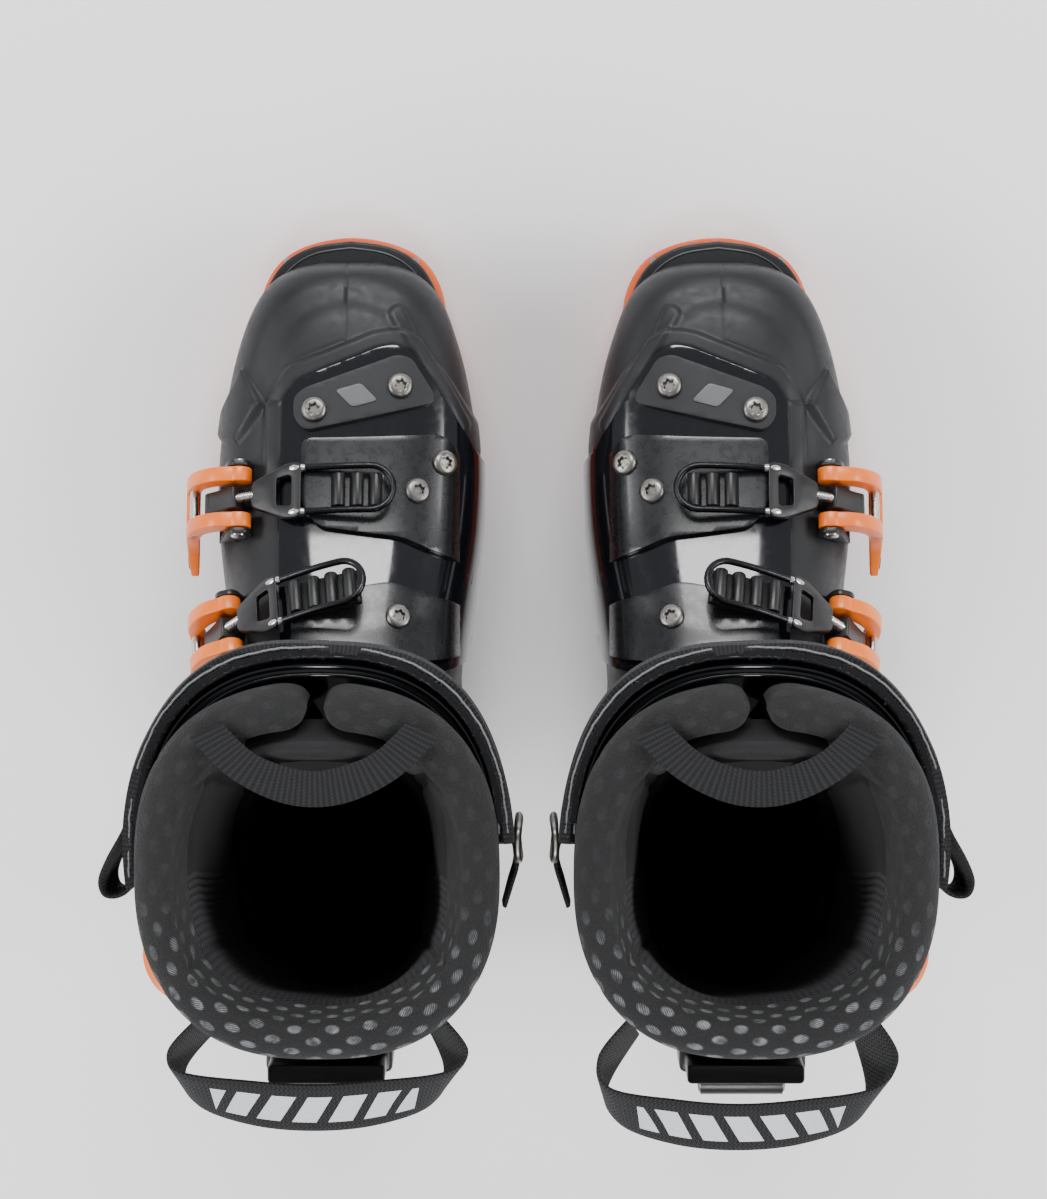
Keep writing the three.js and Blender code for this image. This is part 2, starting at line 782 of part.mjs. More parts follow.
// ---- Soft straps ----
function powerStrap() {
  const heights = [256, 280, 304];
  const wide = CUFF.map(([z, half, rear, front]) => [z, half, rear, front + (z > 240 ? 2.5 : 0)]);
  const outer = legSolid(wide, heights, -6.5, 24);
  const inner = legSolid(wide, [250, 280, 310], -1.2, 24);
  const band = outer.subtract(inner);
  const front = box(-90, 90, -46, 60, 250, 310);
  const tail = box(61.5, 66, -74, -44, 260, 292);
  return band.intersect(front).add(tail);
}

// Band between an upper and a lower edge curve, of even thickness.
function band(top, bottom, thickness, steps = 14) {
  const curves = [top, bottom].map(
    (points) => new THREE.CatmullRomCurve3(points.map((p) => new THREE.Vector3(...p)), false, "centripetal"),
  );
  const rings = Array.from({ length: steps + 1 }, (_, i) => {
    const [a, b] = curves.map((c) => c.getPoint(i / steps));
    const along = curves[0].getTangent(i / steps);
    const across = new THREE.Vector3().crossVectors(along, new THREE.Vector3().subVectors(b, a)).normalize();
    const half = across.multiplyScalar(thickness / 2);
    return [a.clone().add(half), b.clone().add(half), b.clone().sub(half), a.clone().sub(half)];
  });
  return solid(loft(rings));
}

// An edge curve from its right half, which ends in the middle plane.
const bothHalves = (half) => [...half, ...half.slice(0, -1).reverse().map(([x, y, z]) => [-x, y, z])];

const REAR_LOOP = {
  top: [
    [43, -108, 297],
    [51, -120, 295],
    [44, -128, 293],
    [22, -132, 291.5],
    [0, -133.5, 291],
  ],
  bottom: [
    [38, -118, 271],
    [45, -131, 272],
    [42, -143, 275],
    [24, -149.5, 277.5],
    [0, -151.5, 278],
  ],
};

const FRONT_LOOP = {
  top: [
    [32, -4, 326],
    [22, -12.5, 329],
    [12, -16, 330],
    [0, -17.5, 330],
  ],
  bottom: [
    [42, -10, 324],
    [28, -21, 327],
    [13, -28.5, 328],
    [0, -30.5, 328],
  ],
};

const rearPullLoop = () => band(bothHalves(REAR_LOOP.top), bothHalves(REAR_LOOP.bottom), 2, 18);

const frontPullLoop = () => band(bothHalves(FRONT_LOOP.top), bothHalves(FRONT_LOOP.bottom), 1.6);

// ---- Assembly ----
// Piece name: [solid, material, buckle whose frame it is drawn in].
const PIECES = {
  lower_shell: [lowerShell(), MATERIAL.matteShell],
  toe_sole: [toeSole(), MATERIAL.rubber],
  heel_sole: [heelSole(), MATERIAL.rubber],
  toe_insert: [toeInsert(), MATERIAL.steel],
  heel_insert: [heelInsert(), MATERIAL.steel],
  instep_flap: [instepFlap(), MATERIAL.glossShell],
  badge_plate: [badgePlate(), MATERIAL.plastic],
  liner_foot: [linerFoot(), MATERIAL.foam],
  footbed: [footbed(), MATERIAL.foam],
  cuff: [cuff(), MATERIAL.glossShell],
  pivot_rivet_lateral: [pivotRivet(1), MATERIAL.steel],
  pivot_rivet_medial: [pivotRivet(-1), MATERIAL.steel],
  liner_sleeve: [linerSleeve(), MATERIAL.foam],
  liner_tongue: [linerTongue(), MATERIAL.foam],
  power_strap: [powerStrap(), MATERIAL.webbing],
  rear_pull_loop: [rearPullLoop(), MATERIAL.webbing],
  front_pull_loop: [frontPullLoop(), MATERIAL.webbing],
  walk_lever: [walkLever(), MATERIAL.plastic],
};
for (const [name, spec] of Object.entries(BUCKLES)) {
  PIECES[name + "_buckle_base"] = [buckleBase(name), MATERIAL.plastic, name];
  PIECES[name + "_lever"] = [lever(spec), MATERIAL.orange, name];
  PIECES[name + "_bail"] = [bail(spec.reach), MATERIAL.wire, name];
  PIECES[name + "_rack"] = [rack(name), MATERIAL.plastic, name];
}

function boot(prefix) {
  const group = new THREE.Group();
  for (const [name, [made, material, buckle]] of Object.entries(PIECES)) {
    const mesh = new THREE.Mesh(geometryOf(made), material);
    mesh.name = prefix + name;
    if (buckle) mesh.applyMatrix4(buckleMatrix(buckle));
    group.add(mesh);
  }
  return group;
}

const pair = new THREE.Group();
const right = boot("right_");
right.position.x = BOOT_OFFSET_X;
const left = boot("left_");
left.position.x = -BOOT_OFFSET_X;
left.scale.x = -1;
pair.add(right, left);

// The origin is the middle of the pair's bounding box, on the floor.
const bounds = new THREE.Box3().setFromObject(pair);
pair.position.y = -(bounds.min.y + bounds.max.y) / 2;
pair.position.z = -bounds.min.z;

export default pair;
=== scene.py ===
"""Looks of a pair of alpine touring ski boots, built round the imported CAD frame.

Shapes are in millimetres for the right boot, with x towards its outer side, and mirrored for the left boot.
"""
import math
import random

import bmesh
import bpy
from mathutils import Matrix, Vector


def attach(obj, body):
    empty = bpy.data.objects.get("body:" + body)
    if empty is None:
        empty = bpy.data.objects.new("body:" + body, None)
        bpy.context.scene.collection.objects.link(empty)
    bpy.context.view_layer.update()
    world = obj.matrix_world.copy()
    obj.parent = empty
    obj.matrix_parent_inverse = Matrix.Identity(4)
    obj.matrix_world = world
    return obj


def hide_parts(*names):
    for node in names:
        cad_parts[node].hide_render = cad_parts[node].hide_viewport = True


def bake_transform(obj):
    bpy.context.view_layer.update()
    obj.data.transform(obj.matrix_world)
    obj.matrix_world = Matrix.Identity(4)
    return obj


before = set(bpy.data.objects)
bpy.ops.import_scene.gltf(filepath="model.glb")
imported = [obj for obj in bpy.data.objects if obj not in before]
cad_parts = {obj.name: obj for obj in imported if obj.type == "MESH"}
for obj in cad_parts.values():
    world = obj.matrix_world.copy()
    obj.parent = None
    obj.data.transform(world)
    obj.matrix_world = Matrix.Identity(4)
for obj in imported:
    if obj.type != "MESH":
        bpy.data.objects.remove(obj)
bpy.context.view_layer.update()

MM = 0.001
CIRCLE = 2 * math.pi
BOOT_X = 75.0  # from the pair's middle to each boot's middle
BOOT_Y = 0.5  # shift of the boots' frame in the row frame
SIDES = (("right", 1), ("left", -1))
PIVOT = (-72.0, 93.0)  # ankle hinge: y, z

# ---------------------------------------------------------------- camera
CAMERA_PLACE = (-4.5, 194.5, 1600.0)
CAMERA_TILT = 6.8  # degrees off straight down, towards the heels
CAMERA_LENS = 115.0


def make_camera():
    data = bpy.data.cameras.new("camera")
    data.sensor_width = 36
    data.lens = CAMERA_LENS
    data.clip_end = 50
    camera = bpy.data.objects.new("camera", data)
    camera.location = [c * MM for c in CAMERA_PLACE]
    camera.rotation_euler = (math.radians(-CAMERA_TILT), 0, 0)
    bpy.context.scene.collection.objects.link(camera)
    bpy.context.scene.camera = camera


# ---------------------------------------------------------------- surface tables, as in the CAD
# Foot: y, half width medial, half width lateral, bottom, widest height, top.
FOOT = [
    (-143, 14, 14, 42, 52, 64), (-141, 22, 22, 37, 51, 74), (-138, 27, 27, 34, 50, 90),
    (-134, 31, 31, 31, 49, 98), (-128, 35, 35, 29, 48, 100), (-116, 39.5, 39.5, 27.5, 47, 100),
    (-98, 42.5, 43, 26.5, 46, 100), (-72, 44, 45.5, 26, 46, 100), (-40, 44.5, 46.5, 25, 46, 112),
    (-12, 46, 48, 23, 45, 117), (10, 48.5, 50.5, 21, 44, 105), (40, 51.5, 53.5, 19, 42, 89),
    (70, 51.5, 53, 18.5, 40, 77), (98, 47.5, 48.5, 19, 38, 68), (118, 42, 43, 20, 37, 62),
    (131, 36.5, 37, 21.5, 36, 57), (139, 29.5, 30, 24, 35.5, 52), (143.5, 21, 21, 26, 35, 47),
    (145.5, 12, 12, 29, 34, 40),
]
# Cuff and liner sleeve: z, half width, rear y, front y.
CUFF = [
    (66, 52.4, -145, -2), (93, 52.6, -145, -8), (125, 52.8, -143.5, -18), (150, 53, -141, -20),
    (185, 53.6, -137, -11), (225, 56.5, -131.5, -1), (262, 59, -126, 8), (298, 60.5, -119, 16),
]
SLEEVE = [
    (120, 46, -134, -24), (150, 47, -135, -25), (185, 48.2, -131.5, -16.5), (225, 51, -126, -6.5),
    (262, 53.5, -120.5, 2.5), (299, 55.6, -114, 11), (306, 59, -116.5, 11), (315, 62, -118, 10.5),
    (322, 59.5, -115, 7),
]
LEG_POWER = 2.45
NECK_RADIUS = 68.0
NECK_TOP = 131.0


def smooth(table, t, k):
    """Column k of a table at t, by a Catmull-Rom cubic through its rows."""
    last = len(table) - 1
    x = min(max(t, table[0][0]), table[last][0])
    i = 0
    while i < last - 1 and table[i + 1][0] < x:
        i += 1

    def slope(j):
        a, b = table[max(j - 1, 0)], table[min(j + 1, last)]
        return (b[k] - a[k]) / (b[0] - a[0])

    p, q = table[i], table[i + 1]
    span = q[0] - p[0]
    s = (x - p[0]) / span
    rise = s * s * (3 - 2 * s)
    bend = s * (1 - s) * span
    return p[k] * (1 - rise) + q[k] * rise + bend * ((1 - s) * slope(i) - s * slope(i + 1))


def ease(x, lo, hi):
    s = min(max((x - lo) / (hi - lo), 0.0), 1.0)
    return s * s * (3 - 2 * s)


class Foot:
    """The foot shell's surface: a superellipse ring at each y."""

    cache = {}

    @classmethod
    def ring(cls, y):
        if y not in cls.cache:
            medial, lateral, bottom, widest, instep = (smooth(FOOT, y, k) for k in range(1, 6))
            reach = NECK_RADIUS**2 - (y - PIVOT[0]) ** 2
            neck = PIVOT[1] + math.sqrt(reach) if reach > 0 else 0
            power = 2.35 + 0.65 * ease(-y, -10, 30)
            cls.cache[y] = (medial, lateral, bottom, widest, max(instep, neck), power)
        return cls.cache[y]

    @classmethod
    def point(cls, turn, y, lift=0.0):
        """turn 0 is the lateral side, a quarter turn the top; lift is outwards."""
        medial, lateral, bottom, widest, top, power = cls.ring(y)
        c, s = math.cos(turn), math.sin(turn)
        half = (lateral if c > 0 else medial) + lift
        tall = (top - widest if s > 0 else widest - bottom) + lift
        n = power if s > 0 else 3.4
        r = (abs(c) ** n + abs(s) ** n) ** (-1 / n)
        first, last = FOOT[0][0], FOOT[-1][0]
        share = (y - first) / (last - first)
        return Vector((half * c * r, y + lift * (2 * share - 1), widest + tall * s * r))

    @classmethod
    def turn_at(cls, x, y):
        medial, lateral, _, _, _, power = cls.ring(y)
        u = min(abs(x) / (lateral if x > 0 else medial), 1.0)
        return math.atan2((1 - u**power) ** (1 / power), math.copysign(u, x))


def leg_point(table, turn, z, lift=0.0):
    """Cuff or sleeve surface. turn 0 is the lateral side, a quarter turn the front."""
    half, rear, front = (smooth(table, z, k) for k in (1, 2, 3))
    c, s = math.cos(turn), math.sin(turn)
    r = (abs(c) ** LEG_POWER + abs(s) ** LEG_POWER) ** (-1 / LEG_POWER)
    reach = (front - rear) / 2 + lift
    return Vector(((half + lift) * c * r, (front + rear) / 2 + reach * s * r, z))


# ---------------------------------------------------------------- mesh making
SHARP_ANGLE = 35  # degrees between faces from which an edge counts as sharp


def even_turns(count, shift=0):
    """Angles evenly spaced round a circle."""
    return [CIRCLE * (k + shift) / count for k in range(count)]


class Kit:
    """Collects vertices, faces and texture coordinates of one piece, in boot millimetres."""

    def __init__(self, matrix=None):
        self.points, self.faces, self.uvs, self.slots = [], [], [], []
        self.matrix = matrix or Matrix.Identity(4)

    def add(self, points, faces, uvs=None, slots=None):
        base = len(self.points)
        self.points += [self.matrix @ Vector(p) for p in points]
        self.faces += [[base + i for i in f] for f in faces]
        self.slots += slots or [0] * len(faces)
        self.uvs += uvs or [[(points[i][0], points[i][1]) for i in f] for f in faces]

    def grid(self, rows, closed=False, capped=False, uv=None, slot_of=None):
        """Surface through rows of points; closed joins each row's ends."""
        count, width = len(rows), len(rows[0])
        points = [p for row in rows for p in row]
        faces, uvs, slots = [], [], []
        for r in range(count - 1):
            for i in range(width if closed else width - 1):
                j = (i + 1) % width
                corners = [(r, i), (r, j), (r + 1, j), (r + 1, i)]
                faces.append([a * width + b for a, b in corners])
                ends = [(r, i), (r, i + 1), (r + 1, i + 1), (r + 1, i)]
                uvs.append([uv(a, b) if uv else (b, a) for a, b in ends])
                slots.append(slot_of(r, i) if slot_of else 0)
        if capped:
            faces += [list(range(width))[::-1], [(count - 1) * width + i for i in range(width)]]
            uvs += [[(0, 0)] * width] * 2
            slots += [slots[0], slots[-1]]
        self.add(points, faces, uvs, slots)

    def prism(self, outline, low, high):
        """Outline in the local xy plane, from low to high along local z."""
        n = len(outline)
        points = [(x, y, low) for x, y in outline] + [(x, y, high) for x, y in outline]
        faces = [list(range(n))[::-1], list(range(n, 2 * n))]
        faces += [[i, (i + 1) % n, n + (i + 1) % n, n + i] for i in range(n)]
        self.add(points, faces)

    def tube(self, path, radius, sides=12, closed=False):
        """Round bar along a path; radius is a number or one per point."""
        path = [Vector(p) for p in path]
        count = len(path)
        rows, up = [], None
        for i, p in enumerate(path):
            before = path[i - 1] if i or closed else p
            after = path[(i + 1) % count] if i < count - 1 or closed else p
            along = (after - before).normalized()
            if up is None:
                up = along.orthogonal().normalized()
            up = (up - along * up.dot(along)).normalized()
            across = along.cross(up)
            r = radius[i] if isinstance(radius, list) else radius
            turns = even_turns(sides)
            rows.append([p + (up * math.cos(a) + across * math.sin(a)) * r for a in turns])
        if closed:
            rows.append(rows[0])
        self.grid(rows, closed=True, capped=not closed)

    def turned(self, profile, centre, axis, sides=32):
        """Solid of revolution: profile is (radius, height) pairs along the axis from centre."""
        axis = Vector(axis).normalized()
        side = axis.orthogonal().normalized()
        other = axis.cross(side)
        turns = even_turns(sides)
        rows = [
            [Vector(centre) + axis * h + (side * math.cos(a) + other * math.sin(a)) * r for a in turns]
            for r, h in profile
        ]
        self.grid(rows, closed=True, capped=True)


def mesh_of(kit, name, sign):
    mesh = bpy.data.meshes.new(name)
    points = [(sign * (BOOT_X + p.x) * MM, (p.y + BOOT_Y) * MM, p.z * MM) for p in kit.points]
    faces, uvs = kit.faces, kit.uvs
    if sign < 0:
        faces = [f[::-1] for f in faces]
        uvs = [u[::-1] for u in uvs]
    mesh.from_pydata(points, [], faces)
    layer = mesh.uv_layers.new(name="cloth")
    flat = [c * MM for face in uvs for corner in face for c in corner]
    layer.data.foreach_set("uv", flat)
    mesh.polygons.foreach_set("material_index", kit.slots)
    mesh.polygons.foreach_set("use_smooth", [True] * len(faces))
    mesh.update()
    return mesh


def tidy_mesh(mesh):
    """Joins doubled points and turns all faces outwards."""
    work = bmesh.new()
    work.from_mesh(mesh)
    bmesh.ops.remove_doubles(work, verts=work.verts, dist=1e-6)
    bmesh.ops.recalc_face_normals(work, faces=work.faces)
    work.to_mesh(mesh)
    work.free()


def cut_above(mesh, height):
    """Removes what is higher than a level given in millimetres."""
    work = bmesh.new()
    work.from_mesh(mesh)
    geometry = work.verts[:] + work.edges[:] + work.faces[:]
    level = Vector((0, 0, height * MM))
    bmesh.ops.bisect_plane(work, geom=geometry, plane_co=level, plane_no=(0, 0, 1), clear_outer=True)
    work.to_mesh(mesh)
    work.free()


def thicken(piece, thickness, offset):
    """Gives a surface a wall; offset 1 grows it outwards, -1 inwards."""
    made = piece.modifiers.new("wall", "SOLIDIFY")
    made.thickness = thickness * MM
    made.offset = offset


def bevel(piece, width):
    made = piece.modifiers.new("bevel", "BEVEL")
    made.width = width * MM
    made.segments = 3
    made.limit_method = "ANGLE"
    made.angle_limit = math.radians(SHARP_ANGLE)
    made.use_clamp_overlap = True


def place(
    name, kit, body, materials, replaces=(), edge=0, finish=None, seam=SHARP_ANGLE, blend=None,
    only=None,
):
    """Makes the piece for both boots, or for the one named by only.

    body, blend and replaces are named without the side. edge is a bevel's width, and seam the angle in
    degrees from which an edge is drawn sharp.
    """
    for side, sign in SIDES:
        if only and side != only:
            continue
        full = f"{side}_{name}"
        mesh = mesh_of(kit, full, sign)
        tidy_mesh(mesh)
        for material in materials if isinstance(materials, (list, tuple)) else [materials]:
            mesh.materials.append(material)
        piece = bpy.data.objects.new(full, mesh)
        bpy.context.scene.collection.objects.link(piece)
        if edge:
            bevel(piece, edge)
        else:
            mesh.set_sharp_from_angle(angle=math.radians(seam))
        if finish:
            finish(piece)
        if blend:
            upper, start, end = blend
            low, high = [Vector((sign * (BOOT_X + p[0]), p[1] + BOOT_Y, p[2])) * MM for p in (start, end)]
            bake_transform(piece)
            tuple(low)
            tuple(high)
        else:
            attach(piece, body if body == "feet" else f"{side}_{body}")
        if replaces:
            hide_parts(*[f"{side}_{node}" for node in replaces])


def rounded(corners, radius, steps=5):
    """Closed outline with its corners rounded."""
    points = []
    n = len(corners)
    for i in range(n):
        p, a, b = Vector(corners[i]), Vector(corners[i - 1]), Vector(corners[(i + 1) % n])
        reach = min(radius, (a - p).length * 0.45, (b - p).length * 0.45)
        start, end = p + (a - p).normalized() * reach, p + (b - p).normalized() * reach
        for k in range(steps + 1):
            s = k / steps
            points.append(start * (1 - s) ** 2 + p * 2 * s * (1 - s) + end * s * s)
    return [tuple(q) for q in points]


def spline(points, steps):
    """Open Catmull-Rom curve through the points, with equal steps between each two."""
    points = [Vector(p) for p in points]
    out = []
    for i in range(len(points) - 1):
        a, b = points[max(i - 1, 0)], points[i]
        c, d = points[i + 1], points[min(i + 2, len(points) - 1)]
        for k in range(steps):
            s = k / steps
            m0, m1 = (c - a) / 2, (d - b) / 2
            out.append(
                b * (2 * s**3 - 3 * s**2 + 1)
                + m0 * (s**3 - 2 * s**2 + s)
                + c * (3 * s**2 - 2 * s**3)
                + m1 * (s**3 - s**2)
            )
    return out + [points[-1]]


# ---------------------------------------------------------------- materials
def node_material(name):
    material = bpy.data.materials.new(name)
    material.use_nodes = True
    tree = material.node_tree
    return material, tree, tree.nodes["Principled BSDF"]


def add(tree, kind, **inputs):
    node = tree.nodes.new(kind)
    for key, value in inputs.items():
        if key in node.inputs:
            node.inputs[key].default_value = value
        else:
            setattr(node, key, value)
    return node


def math_node(tree, operation, a, b=None):
    node = tree.nodes.new("ShaderNodeMath")
    node.operation = operation
    for i, value in enumerate((a, b)):
        if value is None:
            continue
        if isinstance(value, (int, float)):
            node.inputs[i].default_value = value
        else:
            tree.links.new(value, node.inputs[i])
    return node.outputs[0]


def object_noise(tree, scale, detail=3.0, roughness=0.5):
    coords = tree.nodes.new("ShaderNodeTexCoord")
    noise = add(tree, "ShaderNodeTexNoise", Scale=scale, Detail=detail, Roughness=roughness)
    tree.links.new(coords.outputs["Object"], noise.inputs["Vector"])
    return noise.outputs["Fac"]


def spread(tree, value, low, high, from_low=0.3, from_high=0.7):
    node = tree.nodes.new("ShaderNodeMapRange")
    tree.links.new(value, node.inputs["Value"])
    node.inputs["From Min"].default_value = from_low
    node.inputs["From Max"].default_value = from_high
    node.inputs["To Min"].default_value = low
    node.inputs["To Max"].default_value = high
    return node.outputs[0]


def colour_mix(tree, factor, first, second):
    node = tree.nodes.new("ShaderNodeMix")
    node.data_type = "RGBA"
    tree.links.new(factor, node.inputs["Factor"])
    for key, value in (("A", first), ("B", second)):
        socket = [s for s in node.inputs if s.name == key and s.type == "RGBA"][0]
        if isinstance(value, tuple):
            socket.default_value = (*value, 1)
        else:
            tree.links.new(value, socket)
    return [s for s in node.outputs if s.type == "RGBA"][0]


def bump(tree, shader, height, strength, distance):
    node = add(tree, "ShaderNodeBump", Strength=strength, Distance=distance)
    tree.links.new(height, node.inputs["Height"])
    tree.links.new(node.outputs[0], shader.inputs["Normal"])


def moulded(name, dark, light, rough, grain, strength, coat=0.0, specular=0.5):
    """Moulded plastic: faint colour drift, uneven gloss and a fine grain."""
    material, tree, shader = node_material(name)
    drift = object_noise(tree, 35, 4)
    tree.links.new(colour_mix(tree, spread(tree, drift, 0, 1), dark, light), shader.inputs["Base Color"])
    scuffs = object_noise(tree, 260, 6, 0.65)
    tree.links.new(spread(tree, scuffs, rough[0], rough[1], 0.35, 0.72), shader.inputs["Roughness"])
    bump(tree, shader, object_noise(tree, grain, 2), strength, 0.00015)
    shader.inputs["Specular IOR Level"].default_value = specular
    shader.inputs["Coat Weight"].default_value = coat
    shader.inputs["Coat Roughness"].default_value = 0.08
    return material


def metal(name, colour, rough):
    material, tree, shader = node_material(name)
    worn = object_noise(tree, 420, 5, 0.6)
    tree.links.new(
        colour_mix(tree, spread(tree, worn, 0, 1), colour, tuple(c * 0.7 for c in colour)),
        shader.inputs["Base Color"],
    )
    tree.links.new(spread(tree, worn, rough - 0.08, rough + 0.12), shader.inputs["Roughness"])
    shader.inputs["Metallic"].default_value = 1
    bump(tree, shader, object_noise(tree, 2600, 2), 0.12, 0.0001)
    return material


def cloth_finish(shader, roughness, specular, sheen):
    shader.inputs["Roughness"].default_value = roughness
    shader.inputs["Specular IOR Level"].default_value = specular
    shader.inputs["Sheen Weight"].default_value = sheen


def cloth_axes(tree, scale_u, scale_v):
    """The cloth coordinates divided into cells: returns the two scaled axes."""
    coords = tree.nodes.new("ShaderNodeUVMap")
    coords.uv_map = "cloth"
    split = tree.nodes.new("ShaderNodeSeparateXYZ")
    tree.links.new(coords.outputs[0], split.inputs[0])
    return (
        math_node(tree, "MULTIPLY", split.outputs[0], scale_u),
        math_node(tree, "MULTIPLY", split.outputs[1], scale_v),
    )


def wave(tree, value):
    """A sine of period 1, between 0 and 1."""
    turned = math_node(tree, "SINE", math_node(tree, "MULTIPLY", value, 2 * math.pi))
    return math_node(tree, "ADD", math_node(tree, "MULTIPLY", turned, 0.5), 0.5)


def dots(tree, u, v, radius):
    """1 inside round dots on a staggered lattice of unit cells, fading over their edge."""

    def lattice(shift):
        du = math_node(tree, "SUBTRACT", math_node(tree, "FRACT", math_node(tree, "ADD", u, shift)), 0.5)
        dv = math_node(tree, "SUBTRACT", math_node(tree, "FRACT", math_node(tree, "ADD", v, shift)), 0.5)
        square = math_node(tree, "ADD", math_node(tree, "POWER", du, 2.0), math_node(tree, "POWER", dv, 2.0))
        return spread(tree, math_node(tree, "SQRT", square), 1, 0, radius * 0.75, radius * 1.1)

    return math_node(tree, "MAXIMUM", lattice(0.0), lattice(0.5))


def dotted_mesh():
    """Charcoal knit with staggered silver dots of short bright stitches, brightest at the rear."""
    material, tree, shader = node_material("dotted_mesh")
    u, v = cloth_axes(tree, 1 / 0.0133, 1 / 0.0088)
    spots = dots(tree, u, v, 0.19)
    stitch_u, stitch_v = cloth_axes(tree, 1 / 0.0011, 1 / 0.0009)
    stitches = wave(tree, math_node(tree, "ADD", stitch_u, stitch_v))
    coords = tree.nodes.new("ShaderNodeTexCoord")
    split = tree.nodes.new("ShaderNodeSeparateXYZ")
    tree.links.new(coords.outputs["Object"], split.inputs[0])
    rear = spread(tree, split.outputs[1], 0.05, 1.0, -0.06, -0.115)
    patchy = math_node(tree, "MULTIPLY", rear, spread(tree, object_noise(tree, 320, 4), 0.1, 1.0))
    hatched = math_node(tree, "MULTIPLY", spread(tree, stitches, 0.25, 1.0, 0.2, 0.8), spots)
    lit = math_node(tree, "MULTIPLY", hatched, patchy)
    fibres = spread(tree, object_noise(tree, 1300, 3, 0.7), 0.0, 1.0)
    ground = colour_mix(tree, fibres, (0.0045, 0.0045, 0.005), (0.012, 0.012, 0.0125))
    tree.links.new(colour_mix(tree, lit, ground, (0.30, 0.31, 0.325)), shader.inputs["Base Color"])
    cloth_finish(shader, 0.82, 0.3, 0.06)
    cushion = math_node(tree, "MULTIPLY", spots, 0.5)
    soft = math_node(tree, "ADD", fibres, cushion)
    weave = math_node(tree, "ADD", soft, math_node(tree, "MULTIPLY", stitches, 0.3))
    bump(tree, shader, weave, 0.6, 0.0007)
    return material


def ribbed_knit(name, colour, rib, strength=0.8):
    """Vertical ribs with a cross stitch, with painted shade in the hollows and painted highlight on the
    crests.
    """
    material, tree, shader = node_material(name)
    u, v = cloth_axes(tree, 1 / rib, 1 / (rib * 0.8))
    ribs = wave(tree, u)
    stitches = wave(tree, math_node(tree, "ADD", v, math_node(tree, "MULTIPLY", u, 0.5)))
    height = math_node(tree, "ADD", ribs, math_node(tree, "MULTIPLY", stitches, 0.35))
    # painted shade and highlight: the colour runs from dark in the rib hollows to light on the crests, by the
    # bump's height
    light = tuple(c * 2.6 for c in colour)
    rib_colour_with_painted_shade = colour_mix(tree, spread(tree, height, 0, 1, 0.2, 1.3), colour, light)
    tree.links.new(rib_colour_with_painted_shade, shader.inputs["Base Color"])
    cloth_finish(shader, 0.92, 0.25, 0.05)
    bump(tree, shader, height, strength, 0.0006)
    return material


def lining(name, colour):
    """Brushed lining cloth."""
    material, tree, shader = node_material(name)
    fuzz = object_noise(tree, 1500, 4, 0.7)
    tree.links.new(
        colour_mix(tree, spread(tree, fuzz, 0, 1), colour, tuple(c * 1.9 for c in colour)),
        shader.inputs["Base Color"],
    )
    cloth_finish(shader, 0.95, 0.2, 0.04)
    bump(tree, shader, fuzz, 0.5, 0.0005)
    return material


def webbing(name, colour, light, blocks=False):
    """Woven tape with a herringbone bump; blocks adds a row of plain slanted marks."""
    material, tree, shader = node_material(name)
    u, v = cloth_axes(tree, 1 / 0.0016, 1 / 0.0022)
    zigzag = math_node(tree, "ABSOLUTE", math_node(tree, "SUBTRACT", math_node(tree, "FRACT", v), 0.5))
    threads = wave(tree, math_node(tree, "ADD", u, zigzag))
    # painted shade and highlight: the weave's hollows are coloured darker and its thread crests lighter, by
    # the bump's height
    base = colour_mix(tree, spread(tree, threads, 0, 1, 0, 1), colour, light)
    if blocks:
        along, across = cloth_axes(tree, 1000, 1000)
        lean = math_node(tree, "ADD", along, math_node(tree, "MULTIPLY", across, 0.45))
        cell = math_node(tree, "FRACT", math_node(tree, "DIVIDE", lean, 12.5))
        bars = math_node(tree, "LESS_THAN", cell, 0.68)
        for lo, hi, axis in ((5.5, 18.5, across), (-37.5, 37.5, along)):
            inside = math_node(tree, "GREATER_THAN", axis, lo)
            bars = math_node(tree, "MULTIPLY", bars, inside)
            bars = math_node(tree, "MULTIPLY", bars, math_node(tree, "LESS_THAN", axis, hi))
        base = colour_mix(tree, bars, base, (0.62, 0.63, 0.64))
    tree.links.new(base, shader.inputs["Base Color"])
    cloth_finish(shader, 0.85, 0.3, 0.05)
    bump(tree, shader, threads, 0.7, 0.0005)
    return material


